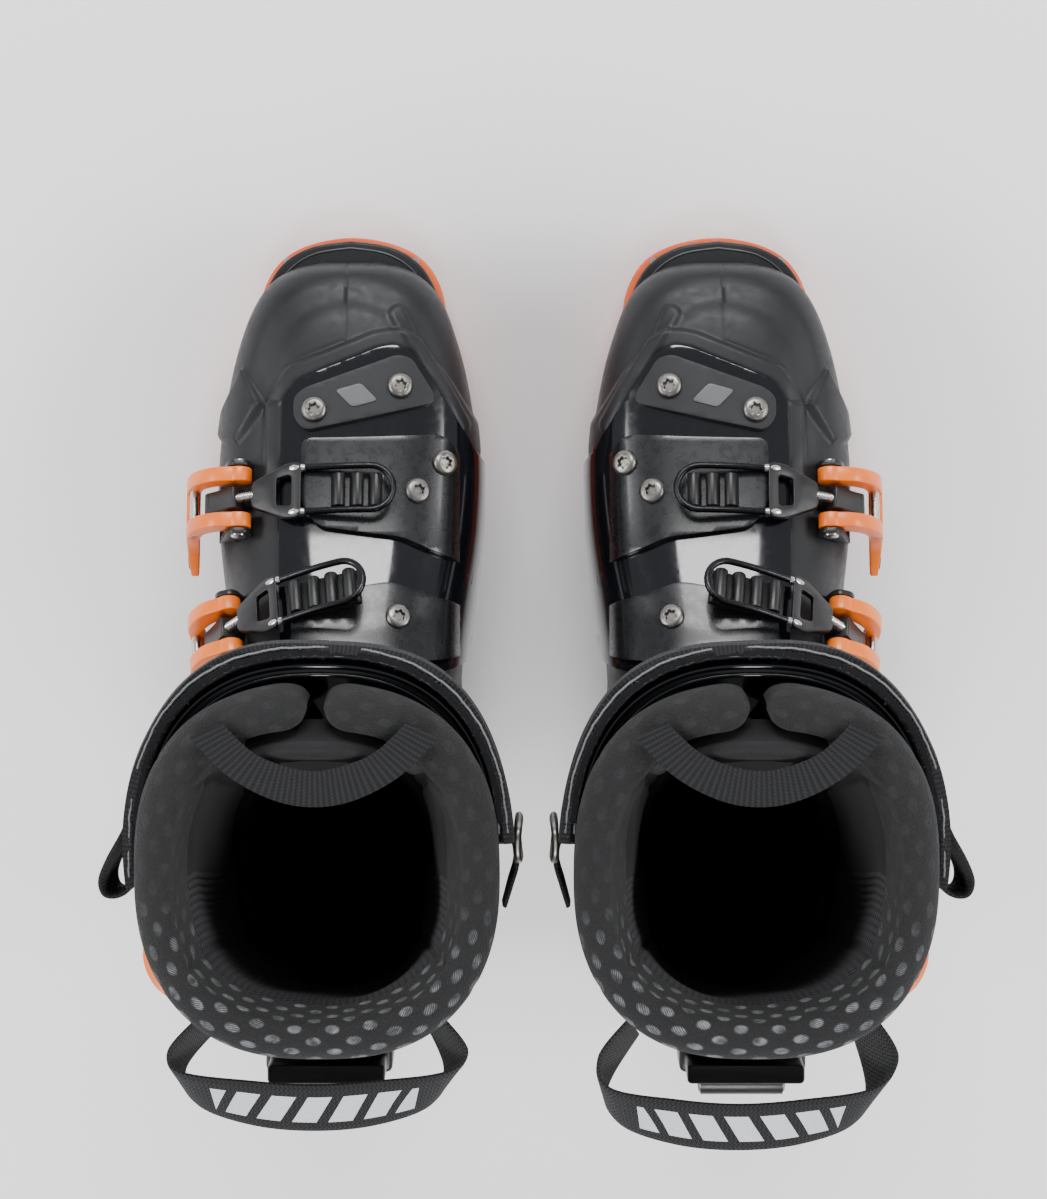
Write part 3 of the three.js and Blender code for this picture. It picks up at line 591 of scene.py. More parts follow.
# Moulded materials: name, dark and light colour, roughness range, grain's scale and strength, coat, specular.
MOULDED = {
    "shell": (
        "matte_shell", (0.0095, 0.0100, 0.0110), (0.0150, 0.0156, 0.0170), (0.38, 0.54), 2600, 0.2, 0.0, 0.32,
    ),
    "gloss": (
        "gloss_shell", (0.0025, 0.0026, 0.0036), (0.0045, 0.0047, 0.0065), (0.06, 0.17), 500, 0.02, 0.5,
    ),
    "satin": ("satin_strap", (0.004, 0.0042, 0.005), (0.008, 0.0083, 0.0095), (0.24, 0.36), 1400, 0.03, 0.2),
    "trim": ("trim_plastic", (0.006, 0.006, 0.0065), (0.011, 0.011, 0.0115), (0.3, 0.46), 3200, 0.3),
    "badge": (
        "badge_plastic", (0.014, 0.0145, 0.0155), (0.02, 0.0205, 0.022), (0.42, 0.55), 3000, 0.3, 0.0, 0.35,
    ),
    # a paler grey, for the thin line along the toe ledge's top
    "line": ("pale_ledge_line", (0.035, 0.037, 0.04), (0.055, 0.058, 0.062), (0.35, 0.5), 2400, 0.2),
    "orange": ("orange_plastic", (0.86, 0.15, 0.004), (0.95, 0.20, 0.008), (0.3, 0.45), 2400, 0.15, 0.15),
    "rubber": ("sole_rubber", (0.62, 0.075, 0.006), (0.78, 0.11, 0.010), (0.6, 0.8), 1800, 0.5),
    "dark_rubber": ("dark_rubber", (0.012, 0.012, 0.013), (0.022, 0.022, 0.022), (0.6, 0.8), 1800, 0.5),
    "blue": ("blue_mark", (0.005, 0.12, 0.30), (0.008, 0.16, 0.38), (0.35, 0.45), 2000, 0.1),
    "emblem": ("emblem_grey", (0.10, 0.10, 0.105), (0.13, 0.13, 0.135), (0.4, 0.5), 2400, 0.2),
}


def make_materials():
    mats = {key: moulded(*spec) for key, spec in MOULDED.items()}
    mats |= {
        "steel": metal("brushed_steel", (0.27, 0.26, 0.24), 0.36),
        "bright": metal("bright_steel", (0.72, 0.71, 0.68), 0.26),
        "wire": metal("black_wire", (0.035, 0.035, 0.038), 0.28),
        "dotted": dotted_mesh(),
        "knit": ribbed_knit("ribbed_knit", (0.007, 0.007, 0.008), 0.0028),
        "lining": lining("lining", (0.0035, 0.0035, 0.004)),
        "tongue": lining("tongue_cloth", (0.010, 0.010, 0.0105)),
        "fuzz": lining("hook_and_loop", (0.0035, 0.0035, 0.004)),
        "fray": lining("frayed_fibre", (0.10, 0.102, 0.106)),
        "thread": lining("thread", (0.05, 0.05, 0.052)),
        "webbing": webbing("webbing", (0.0045, 0.0045, 0.005), (0.014, 0.014, 0.015)),
        "ribbed": ribbed_knit("ribbed_tape", (0.007, 0.007, 0.0078), 0.0016, 0.9),
        "marked": webbing("marked_webbing", (0.005, 0.005, 0.0055), (0.017, 0.017, 0.018), blocks=True),
    }
    return mats


# ---------------------------------------------------------------- shells
def groove(distance, width, depth):
    """Depth of a rounded line mark at a distance from its middle."""
    return depth * math.exp(-((distance / width) ** 2))


def to_line(x, y, a, b):
    px, py = x - a[0], y - a[1]
    dx, dy = b[0] - a[0], b[1] - a[1]
    s = min(max((px * dx + py * dy) / (dx * dx + dy * dy), 0), 1)
    return math.hypot(px - s * dx, py - s * dy)


TOE_LINES = [((1.3, 150), (1.3, 115)), ((1.3, 115), (20, 108)), ((20, 108), (27, 99))]
MEDIAL_RIDGE = ((-20, 126), (-44, 80))


def outside_by(x, y, outline):
    """Distance from a point to an outline, negative inside it."""
    near, inside = 1e9, False
    for i, a in enumerate(outline):
        b = outline[(i + 1) % len(outline)]
        near = min(near, to_line(x, y, a, b))
        if (a[1] > y) != (b[1] > y) and x < (b[0] - a[0]) * (y - a[1]) / (b[1] - a[1]) + a[0]:
            inside = not inside
    return -near if inside else near


def shell_relief(turn, y):
    """Moulded lines and facets of the lower shell, as a lift in millimetres."""
    if math.sin(turn) < -0.2:
        return 0.0
    p = Foot.point(turn, y)
    lift = 0.0
    if y > 90:
        for a, b in TOE_LINES:
            lift -= groove(to_line(p.x, p.y, a, b), 0.38, 0.32)
        # the toe box's top is pressed in a little behind its rim
        lift -= 0.9 * math.exp(-(((math.hypot(p.x, p.y - 100) - 33) / 5) ** 2)) * ease(p.z, 44, 52)
    if 20 < y < 125:
        # raised lip round the overlap flap, with a narrow gap at the flap's edge
        away = outside_by(p.x, p.y, FLAP_PLAN)
        if away < 12:
            lift += 1.5 * (1 - ease(away, 6.5, 9.0)) * ease(y, 56, 70)
            lift -= 1.0 * math.exp(-((away / 0.9) ** 2))
    if y > 70 and p.x < -10:
        along = to_line(p.x, p.y, *MEDIAL_RIDGE)
        lift += 1.1 * (1 - ease(along, 2.2, 4.2))
    if p.x > 20 and 60 < y < 104:
        # a raised three-sided facet ahead of the toe buckle
        inside = min(
            ease(y + 1.5 * (p.x - 50), 64, 67),
            1 - ease(y + 2.0 * (p.x - 50), 86, 90) * ease(p.x, 38, 40),
            ease(y, 73, 75),
            1 - ease(y - 1.6 * (p.x - 33), 86, 89),
        )
        lift += 1.8 * inside
    if y < -6:
        # rib along the heel counter
        lift += 0.9 * (ease(p.z, 60, 62.5) - ease(p.z, 74, 78)) * ease(-y, 18, 30)
    return lift


def station_list(marks):
    out = []
    for (a, b), step in marks:
        count = max(int(round((b - a) / step)), 1)
        out += [a + (b - a) * k / count for k in range(count)]
    return out + [marks[-1][0][1]]


def lower_shell(mats):
    """The moulded shell round the foot, open at the ankle."""
    marks = [((-143, -130), 1.0), ((-130, -20), 2.2), ((-20, 60), 1.8), ((60, 98), 1.1), ((98, 145.5), 0.8)]
    turns = even_turns(260, 0.5)
    kit = Kit()
    rows = [[Foot.point(t, y, shell_relief(t, y)) for t in turns] for y in station_list(marks)]
    kit.grid(rows, closed=True, capped=True)

    def wall(piece):
        cut_above(piece.data, NECK_TOP)
        thicken(piece, 3.6, -1)

    nodes = ["lower_shell"]
    place("lower_shell_skin", kit, "feet", mats["shell"], nodes, finish=wall, seam=50)
    toe_ledge(mats)
    latch = Kit()
    latch.prism(rounded([(-10.5, -146.8), (10.5, -146.8), (10.5, -136), (-10.5, -136)], 2), 80.5, 91.5)
    place("heel_latch", latch, "feet", mats["shell"], edge=1.2)


def toe_ledge(mats):
    """A crescent plate round the toe, with a paler grey line along its top."""
    ledge = Kit()
    ledge.prism(ledge_outline(0.0), 20.6, 30.6)
    place("toe_ledge", ledge, "feet", mats["shell"], edge=1.6)
    path = [(x, y, 30.75) for x, y in ledge_outline(-2.6) if y > 124]
    path.sort(key=lambda p: math.atan2(p[1] - 110, p[0]))
    line = Kit()
    line.tube(path, 0.4, 8)
    place("toe_ledge_line", line, "feet", mats["line"])


def ledge_outline(grow):
    half = [(0, 154), (16, 151.6), (27.5, 145), (34.5, 134), (36.5, 121), (37, 108)]
    right = spline([(x, y, 0) for x, y in half], 8)
    points = [(p.x + (grow if p.x > 1 else 0) * min(p.x / 30, 1), p.y + grow) for p in right]
    back = [(20, 104), (-20, 104)]
    left = [(-x, y) for x, y in points[::-1]][:-1]
    return points + back + left


# Patches laid on the foot surface, drawn in plan (x, y).
def patch(outline, low, high, step=2.2, taper=False):
    """A plate over the foot with the outline's shape in plan; a tapered one thins towards the medial side."""
    radius = 50.0
    flat = [(Foot.turn_at(x, y) * radius, y) for x, y in outline]
    work = bmesh.new()
    corners = [work.verts.new((u, v, 0)) for u, v in flat]
    work.faces.new(corners)
    lows = [min(p[k] for p in flat) for k in (0, 1)]
    highs = [max(p[k] for p in flat) for k in (0, 1)]
    for k, normal in ((0, (1, 0, 0)), (1, (0, 1, 0))):
        cut = lows[k] + step
        while cut < highs[k]:
            geometry = work.verts[:] + work.edges[:] + work.faces[:]
            co = (cut, 0, 0) if k == 0 else (0, cut, 0)
            bmesh.ops.bisect_plane(work, geom=geometry, plane_co=co, plane_no=normal, dist=1e-4)
            cut += step
    work.verts.index_update()
    flats = [v.co.copy() for v in work.verts]
    faces = [[v.index for v in f.verts] for f in work.faces]
    rims = [(e.verts[0].index, e.verts[1].index) for e in work.edges if len(e.link_faces) == 1]
    directed = {}
    for f in faces:
        for i in range(len(f)):
            directed[(f[i], f[(i + 1) % len(f)])] = True
    work.free()
    top, bottom = [], []
    for p in flats:
        thin = 1 - 0.7 * ease(-Foot.point(p.x / radius, p.y).x, 35, 47) if taper else 1
        top.append(Foot.point(p.x / radius, p.y, high * thin))
        bottom.append(Foot.point(p.x / radius, p.y, low * thin))
    n = len(flats)
    all_faces = [list(f) for f in faces] + [[n + i for i in f[::-1]] for f in faces]
    for a, b in rims:
        if (a, b) not in directed:
            a, b = b, a
        all_faces.append([b, a, n + a, n + b])
    uvs = [[(flats[i % n].x, flats[i % n].y) for i in f] for f in all_faces]
    kit = Kit()
    kit.add(top + bottom, all_faces, uvs)
    return kit


FLAP_PLAN = [
    (-56, -12), (-56, 56), (-44, 77), (-32, 98), (-24, 109), (-18, 111.5), (-12, 110.5), (4, 104), (19, 98),
    (25, 90), (25, 30), (23, -12),
]
TOE_STRAP_PLAN = [(-56, 12), (-44, 26), (-20, 38), (10, 42), (16, 50), (16, 74.5), (-34, 75.5), (-56, 56)]
ANKLE_STRAP_PLAN = [
    (-56, -12), (-40, -8), (-10, -6), (16, -10), (19, 6), (15, 17), (-16, 22), (-40, 12), (-56, 0),
]
BADGE_PLAN = [(-31, 87.5), (-31, 91), (-23, 104.5), (-18, 106), (15, 93.5), (19, 90), (19, 82), (15, 77.5)]
LOZENGE_PLAN = [(-11, 88.5), (-5, 95), (4, 92.3), (-2, 86)]


def densify(points, step=3.0):
    out = []
    for i, p in enumerate(points):
        q = points[(i + 1) % len(points)]
        length = math.hypot(q[0] - p[0], q[1] - p[1])
        count = max(int(length / step), 1)
        out += [(p[0] + (q[0] - p[0]) * k / count, p[1] + (q[1] - p[1]) * k / count) for k in range(count)]
    return out


def instep(mats):
    """The overlap flap with its two raised straps, and the badge plate."""
    flap = patch(densify(rounded(FLAP_PLAN, 7)), 0.5, 3.2)
    place("instep_flap_skin", flap, "feet", mats["gloss"], ["instep_flap"], edge=0.8)
    strap = patch(densify(rounded(TOE_STRAP_PLAN, 4)), 3.0, 6.0, taper=True)
    place("toe_strap", strap, "feet", mats["satin"], edge=1.0)
    upper = patch(densify(rounded(ANKLE_STRAP_PLAN, 4)), 3.0, 6.0, taper=True)
    place("ankle_strap", upper, "feet", mats["satin"], edge=1.0)
    badge = patch(densify(rounded(BADGE_PLAN, 3)), 3.3, 5.8)
    place("badge_plate_skin", badge, "feet", mats["badge"], ["badge_plate"], edge=0.8)
    lozenge = patch(densify(rounded(LOZENGE_PLAN, 1.5), 1.5), 5.5, 6.3, 1.5)
    place("badge_lozenge", lozenge, "feet", mats["emblem"], edge=0.25)


# ---------------------------------------------------------------- cuff
CUFF_TOP = 298
SWEEP_RADIUS, SWEEP_HALF, SWEEP_POWER = 71, 49.3, 3.5  # room that the neck needs inside the swinging cuff


def cuff_edge_height(turn):
    """Lowest z of the cuff at a place round it, from its two slanting lower edges."""
    y = leg_point(CUFF, turn, 120).y
    dy = y - PIVOT[0]
    front = math.tan(math.radians(50))
    rear = math.tan(math.radians(28))
    height = PIVOT[1] + (dy * front if dy > 0 else -dy * rear)
    near = 24.0**2 - dy**2
    if near > 0:
        height = min(height, PIVOT[1] - math.sqrt(near))
    return height


def keep_out(p):
    """Radius about the hinge that the neck needs at a sideways distance."""
    share = min(abs(p.x) / SWEEP_HALF, 1.0)
    return SWEEP_RADIUS * (1 - share**SWEEP_POWER) ** (1 / SWEEP_POWER)


def cuff_body(mats):
    """The gloss shell round the leg: an outer and an inner wall, joined at the top and the bottom."""
    turns = even_turns(220, 0.5)
    levels = 84
    outer_rows, inner_rows = [], []
    for k in range(levels + 1):
        heights = [low + (CUFF_TOP - low) * (k / levels) for low in map(cuff_edge_height, turns)]
        outer_rows.append([leg_point(CUFF, t, z, cuff_relief(t, z)) for t, z in zip(turns, heights)])
        inner_rows.append([leg_point(CUFF, t, z, -3.2) for t, z in zip(turns, heights)])
    rows = outer_rows + inner_rows[::-1] + [outer_rows[0]]
    kit = Kit()
    kit.grid(rows, closed=True)
    # the neck's sweep is cut away from the inside
    for i, p in enumerate(kit.points):
        dy, dz = p.y - PIVOT[0], p.z - PIVOT[1]
        reach = math.hypot(dy, dz)
        need = keep_out(p)
        if reach < need and abs(p.x) < SWEEP_HALF - 0.1:
            grow = need / max(reach, 1e-3)
            kit.points[i] = Vector((p.x, PIVOT[0] + dy * grow, PIVOT[1] + dz * grow))
    place("cuff_skin", kit, "upper", mats["gloss"], ["cuff"], seam=40)
    spine = Kit()
    spine.prism(rounded([(-23, -141.5), (23, -141.5), (23, -128), (-23, -128)], 3), 178, 239)
    place("cuff_spine", spine, "upper", mats["trim"], edge=1.5)
    overlap_edges(mats)


def cuff_relief(turn, z):
    """Moulded step where the cuff's outer overlap crosses the front, and side panels."""
    degrees = (turn / math.pi * 180) % 360
    lift = 0.9 * (ease(degrees, 62, 64) - ease(degrees, 150, 156)) * ease(z, 118, 124)
    panel = ease(z, 150, 153) - ease(z, 236, 239)
    for start, end in ((196, 240), (296, 340)):
        lift -= 0.8 * panel * (ease(degrees, start, start + 4) - ease(degrees, end, end + 4))
    return lift


def overlap_edges(mats):
    """The two glossy lips where the cuff's halves overlap above the instep."""
    kit = Kit()
    for lift, dz, span in ((0.4, 0, (30, 150)), (3.0, 6, (40, 128))):
        rows = []
        for k in range(61):
            t = math.radians(span[0] + (span[1] - span[0]) * k / 60)
            low = cuff_edge_height(t) + dz
            rows.append([
                leg_point(CUFF, t, low + h, lift + w)
                for h, w in ((0, 0), (0.4, 1.2), (2.4, 1.6), (5.5, 1.2), (6.5, 0), (3, -0.6))
            ])
        kit.grid(rows, closed=True, capped=True)
    for z, lift, radius in ((299, 0.0, 1.3), (298.4, -3.2, 0.9)):
        path = [leg_point(CUFF, math.radians(16 + 148 * k / 80), CUFF_TOP, lift) for k in range(81)]
        kit.tube([q + Vector((0, 0, z - CUFF_TOP)) for q in path], radius, 12)
    place("cuff_lips", kit, "upper", mats["gloss"], seam=60)


# ---------------------------------------------------------------- soles and inserts
TOE_SOLE_PLAN = [
    (0, 155), (17, 152.3), (29, 145.5), (36, 134), (38.5, 120), (43, 95), (45, 65), (40, 35), (32, 12),
    (0, 6), (-31, 12), (-38, 35), (-44, 65), (-42, 95), (-39, 120), (-36.5, 134), (-29.5, 145.5),
    (-17, 152.3),
]
HEEL_SOLE_PLAN = [
    (0, -150), (20, -147.5), (33, -137), (37, -118), (37, -92), (30, -78), (0, -74), (-30, -78), (-36.5, -92),
    (-36.5, -118), (-33, -137), (-20, -147.5),
]


def sole(mats):
    """The toe and the heel part of the rubber sole, with their lugs."""
    kit = Kit()
    layers = [(0, -1.6), (1.2, -0.2), (8, 0), (16, 0.1), (22.5, 0), (23.7, -0.9)]
    layered_sole(kit, closed_curve(TOE_SOLE_PLAN, 5), layers, rocker)
    place("toe_sole_rubber", kit, "feet", mats["rubber"], ["toe_sole"], seam=60)
    kit = Kit()
    layers = [(0, -1.6), (1.2, -0.2), (8, 0), (18, 0.1), (29.5, 0), (30.7, -0.9)]
    layered_sole(kit, closed_curve(HEEL_SOLE_PLAN, 6), layers)
    place("heel_sole_rubber", kit, "feet", mats["rubber"], ["heel_sole"], seam=60)
    tread(mats)


def toe_rise(y):
    """How far the sole's underside curves up towards the toe."""
    return 9 * ease(y, 100, 172) if y > 100 else 0


def rocker(x, y, z):
    return (x, y, z + toe_rise(y) * (1 - z / 24))


def closed_curve(points, steps):
    loop = [points[-1]] + points + points[:2]
    made = spline([(x, y, 0) for x, y in loop], steps)
    return [(p.x, p.y) for p in made[steps:-steps - 1]]


def layered_sole(kit, plan, layers, warp=None):
    """Block with the plan's outline, its side following (height, outward step) layers."""
    centre = (0, sum(p[1] for p in plan) / len(plan))
    rows = []
    for z, step in layers:
        row = []
        for x, y in plan:
            away = math.hypot(x - centre[0], y - centre[1])
            grow = 1 + step / away
            p = (centre[0] + (x - centre[0]) * grow, centre[1] + (y - centre[1]) * grow, z)
            row.append(Vector(warp(*p)) if warp else Vector(p))
        rows.append(row)
    kit.grid(rows, closed=True, capped=True)


def tread(mats):
    """Lugs under both soles, standing in the soles' lowest millimetres."""
    kit = Kit()
    lug = [(-6, -3.2), (5, -3.2), (6.5, 3.2), (-4.5, 3.2)]
    places = [(x, y) for y in range(20, 146, 11) for x in (-26, -10, 10, 26) if abs(x) < 25 or y <= 128]
    places += [(x, y) for y in range(-140, -82, 11) for x in (-22, 0, 22)]
    for x, y in places:
        flip = 1 if x > 0 else -1
        outline = [(x + flip * a, y + b) for a, b in lug]
        low = toe_rise(y)
        kit.prism(rounded(outline, 1), low + 0.02, low + 2.2)
    place("tread_lugs", kit, "feet", mats["dark_rubber"], edge=0.4)


def inserts(mats):
    """The toe's steel bar and the heel's slotted plate, which the binding holds."""
    bar = Kit()
    profile = [(0.4, -27.6), (3.6, -27.6), (4.4, -26.8), (4.4, 26.8), (3.6, 27.6), (0.4, 27.6)]
    bar.turned(profile, (0, 143, 23), (1, 0, 0), 28)
    place("toe_bar", bar, "feet", mats["steel"], ["toe_insert"])
    plate = Kit(Matrix(((1, 0, 0, 0), (0, 0, 1, 0), (0, 1, 0, 0), (0, 0, 0, 1))))
    right = [(14, 7), (14, 30), (6.6, 30), (6.6, 18), (3.4, 18), (3.4, 30)]
    left = [(-x, z) for x, z in right[::-1]]
    plate.prism(rounded([left[-1]] + right + left[:-1], 1, 3), -149.8, -147.2)
    place("heel_plate", plate, "feet", mats["steel"], ["heel_insert"], edge=0.4)


# ---------------------------------------------------------------- screws and rivets
SCREW_HEIGHT = 2.2


def screw_kit(centre, axis, radius):
    """Domed head with a six-lobe socket."""
    kit = Kit()
    height = SCREW_HEIGHT
    axis = Vector(axis).normalized()
    side = axis.orthogonal().normalized()
    other = axis.cross(side)
    rows = []

    def ring(r_of, h):
        rows.append([
            Vector(centre) + axis * h + (side * math.cos(a) + other * math.sin(a)) * r_of(a)
            for a in even_turns(48)
        ])

    def lobes(scale):
        return lambda a: radius * scale * (0.40 + 0.075 * math.cos(6 * a))

    ring(lambda a: 0.05, height * 0.25)
    ring(lobes(0.9), height * 0.25)
    ring(lobes(1.0), height * 0.92)
    ring(lobes(1.08), height)
    for share, drop in ((0.62, 0.0), (0.78, 0.1), (0.9, 0.3), (0.97, 0.55), (1.0, 0.85), (1.0, 1.1)):
        ring(lambda a, s=share: radius * s, height * (1 - drop))
    ring(lambda a: radius * 0.98, -0.4)
    kit.grid(rows, closed=True, capped=True)
    return kit


def foot_frame(x, y, lift):
    turn = Foot.turn_at(x, y)
    p = Foot.point(turn, y, lift)
    a = Foot.point(turn + 0.02, y, lift) - Foot.point(turn - 0.02, y, lift)
    b = Foot.point(turn, y + 0.8, lift) - Foot.point(turn, y - 0.8, lift)
    n = a.cross(b).normalized()
    if n.z < 0 or (abs(n.z) < 0.2 and n.x * p.x < 0):
        n = -n
    return p, n


def leg_frame(turn, z, lift):
    p = leg_point(CUFF, turn, z, lift)
    a = leg_point(CUFF, turn + 0.02, z, lift) - leg_point(CUFF, turn - 0.02, z, lift)
    b = leg_point(CUFF, turn, z + 1, lift) - leg_point(CUFF, turn, z - 1, lift)
    return p, a.cross(b).normalized()


def fasteners(mats):
    """Screws and rivets: on the foot given as x, y, lift and radius, on the cuff as turn and height."""
    on_foot = {
        "badge_screw_a": (11.5, 85.2, 5.9, 5.15),
        "badge_screw_b": (-19, 94, 5.9, 5.15),
        "toe_strap_screw_a": (-25.5, 54.5, 6.0, 5.2),
        "toe_strap_screw_b": (-35, 64.5, 6.0, 5.2),
        "ankle_strap_screw": (-19, 9, 6.0, 5.2),
        "toe_rivet": (-46, 20, 1.0, 5.0),
        "ankle_rivet": (-46, -6, 1.0, 4.6),
    }
    for name, (x, y, lift, radius) in on_foot.items():
        centre, axis = foot_frame(x, y, lift)
        place(name, screw_kit(centre, axis, radius), "feet", mats["steel"], seam=50)
    rivet = [
        (0.3, 2.4), (3.4, 2.4), (4.2, 2.0), (4.4, 1.4), (8.2, 1.4), (8.9, 0.8), (9.0, 0), (9, -0.6),
        (5, -0.6), (4.9, -8),
    ]
    for name, sign in (("lateral", 1), ("medial", -1)):
        kit = Kit()
        kit.turned(rivet, (sign * 53.4, *PIVOT), (sign, 0, 0), 40)
        node = "pivot_rivet_" + name
        place("pivot_ankle_rivet_" + name, kit, "feet", mats["steel"], [node], seam=45)
    for i, (turn, z) in enumerate(((250, 165), (290, 165), (205, 285), (335, 285))):
        centre, axis = leg_frame(math.radians(turn), z, 0.2)
        place(f"cuff_screw_{i}", screw_kit(centre, axis, 4.6), "upper", mats["steel"], seam=50)


# ---------------------------------------------------------------- buckles
def buckle_matrix(name):
    spec = BUCKLES[name]
    if name == "cuff":
        axes = ((0, 1, 0), (1, 0, 0), (0, 0, -1))
    else:
        axes = ((-1, 0, 0), (0, 0, 1), (0, 1, 0))
    basis = Matrix(axes).transposed().to_4x4()
    tilt, raised, yaw = (math.radians(a) for a in spec["turn"])
    twist = math.radians(CUFF_BUCKLE_TURN) if name == "cuff" else 0
    return (
        Matrix.Translation(spec["at"])
        @ Matrix.Rotation(yaw, 4, "Z")
        @ Matrix.Rotation(-tilt, 4, "X")
        @ Matrix.Rotation(raised, 4, "Y")
        @ basis
        @ Matrix.Rotation(twist, 4, "Z")
    )


# A buckle's lever hinge, its tilt, rise and yaw in degrees, the lever's tip and sideways lean, and its rack.
BUCKLES = {
    "toe": {
        "at": (43, 53, 78), "turn": (21, 0, 0), "tip": (-20, -36), "skew": -12, "teeth": 3, "floor": 12,
    },
    "ankle": {
        "at": (46, 3, 94), "turn": (34, 14, -6), "tip": (-20, -34), "skew": -8, "teeth": 4, "floor": 12,
    },
    "cuff": {
        "at": (62, -92, 215), "turn": (0, 0, 0), "tip": (-24, -32), "skew": 0, "teeth": 3, "floor": 11.6,
    },
}
CUFF_BUCKLE_TURN = -22
PITCH = 7.4
WIRE_END = 62.0
RACK_END = 58.5


def bar_outline(line, halves, steps=6):
    """Outline of a bar of changing thickness along a smooth line."""
    curve = spline([(u, w, 0) for u, w in line], steps)
    widths = spline([(h, 0, 0) for h in halves], steps)
    sides = ([], [])
    for i, p in enumerate(curve):
        d = curve[min(i + 1, len(curve) - 1)] - curve[max(i - 1, 0)]
        n = Vector((-d.y, d.x, 0)).normalized() * widths[i].x
        sides[0].append((p.x + n.x, p.y + n.y))
        sides[1].append((p.x - n.x, p.y - n.y))
    return sides[0] + sides[1][::-1]


def lever_piece(name, spec, mats):
    tip, skew = spec["tip"], spec["skew"]
    arm = [(0, 0), (-9, -1), (-16.5, -7), (-19.5, -16), ((tip[0] - 20) / 2, (tip[1] - 16) / 2 - 2), tip]
    matrix = buckle_matrix(name)
    kit = Kit(matrix)
    for low, high in ((6.4, 12.4), (-12.4, -6.4)):
        kit.prism(bar_outline(arm[:4], [4.4, 4.1, 3.3, 2.8]), low, high)
        kit.prism(circle(5, 26), low, high)

    def lean(u, w, v):
        drop = min(max((-16 - w) / 20, 0), 1)
        narrow = 1 - 0.12 * drop
        return (u, w, v * narrow + skew * drop * drop)

    strip(kit, arm[3:], [2.8, 2.4, 1.7], 12.4, lean)
    body = name + "_arm"
    place(name + "_lever_arm", kit, body, mats["orange"], [name + "_lever"], edge=0.9)

    def lean_under(u, w, v):
        return lean(u - 0.35, w - 0.35, v)

    grip = Kit(matrix)
    strip(grip, [arm[4], tip], [2.75, 2.1], 9.5, lean_under, share=(0.62, 0.97))
    place(name + "_lever_grip", grip, body, mats["trim"], edge=0.4)
    axle = Kit(matrix)
    pin = [(0.2, 1.1), (2.2, 1.0), (3.0, 0.5), (3.1, -0.2), (2.4, -2)]
    for sign in (1, -1):
        axle.turned(pin, (0, 0, sign * 15.1), (0, 0, sign), 24)
    axle.tube([(-19, -13, -12.4), (-19, -13, 12.4)], 1.7, 16)
    place(name + "_lever_pins", axle, body, mats["bright"])


def strip(kit, line, halves, half_width, warp, share=(0, 1)):
    """Plate following a line in the buckle plane, cut fine enough to warp."""
    curve = spline([(u, w, 0) for u, w in line], 8)
    widths = spline([(h, 0, 0) for h in halves], 8)
    first, last = int(share[0] * (len(curve) - 1)), int(share[1] * (len(curve) - 1))
    rows = []
    for i in range(first, last + 1):
        d = curve[min(i + 1, len(curve) - 1)] - curve[max(i - 1, 0)]
        n = Vector((-d.y, d.x, 0)).normalized() * widths[i].x
        p = curve[i]
        corners = [(p + n, -half_width), (p + n, half_width), (p - n, half_width), (p - n, -half_width)]
        rows.append([Vector(warp(c.x, c.y, v)) for c, v in corners])
    kit.grid(rows, closed=True, capped=True)


def circle(radius, sides, centre=(0, 0)):
    turns = [2 * math.pi * k / sides for k in range(sides)]
    return [(centre[0] + radius * math.cos(a), centre[1] + radius * math.sin(a)) for a in turns]


def wire_rise(u):
    """Height of the bail's wire, which arches over the rack."""
    return 12 + 5 * math.sin(math.pi * (u - 22) / 64)


def bail_piece(name, mats):
    matrix = buckle_matrix(name)
    body = name + "_loop"
    thimble = Kit(matrix)
    thimble.prism(bar_outline([(-11, -10), (-5.5, -4.5), (0, 1)], [3.3, 3.1, 3.2]), -4.5, 4.5)
    thimble.prism(circle(3.4, 24, (-11, -10)), -4.5, 4.5)
    place(name + "_thimble", thimble, body, mats["trim"], [name + "_bail"], edge=0.7)
    rod = Kit(matrix)
    path, widths = [], []
    for k in range(73):
        s = k / 72
        path.append((-0.5 + 7.5 * s, 0.6 + 4.6 * s, 0))
        widths.append(1.75 + 0.28 * math.cos(2 * math.pi * s * 9))
    rod.tube(path, widths, 16)
    place(name + "_rod", rod, body, mats["bright"])
    carrier = Kit(matrix)
    plate = rounded([(5.2, -5), (19.5, -11.3), (25.5, -11.3), (25.5, 11.3), (19.5, 11.3), (5.2, 5)], 1.6)
    hole = rounded([(15.5, -5.4), (21.5, -6.4), (21.5, 6.4), (15.5, 5.4)], 1.2)
    framed_plate(carrier, plate, hole, lambda u: 4.3 + (u - 5.4) * 0.44, 1.7)
    place(name + "_carrier", carrier, body, mats["trim"], edge=0.6)
    wire = Kit(matrix)
    leg_end = WIRE_END - 9
    side = [(22 + (leg_end - 22) * k / 14, -9) for k in range(15)]
    bend = [math.pi * (k / 16 - 0.5) for k in range(1, 16)]
    turn = [(leg_end + 9 * math.cos(a), 9 * math.sin(a)) for a in bend]
    flat = side + turn + [(u, -v) for u, v in side[::-1]]
    wire.tube([(u, wire_rise(u), v) for u, v in flat], 1.35, 14)
    place(name + "_wire", wire, body, mats["wire"])
    ends = Kit(matrix)
    for sign in (1, -1):
        path = [(u, wire_rise(u), 9 * sign) for u in (21.0, 22.5, 24, 25.8, 27.2)]
        ends.tube(path, [1.2, 1.75, 1.85, 1.75, 1.4], 14)
    place(name + "_wire_ends", ends, body, mats["bright"])


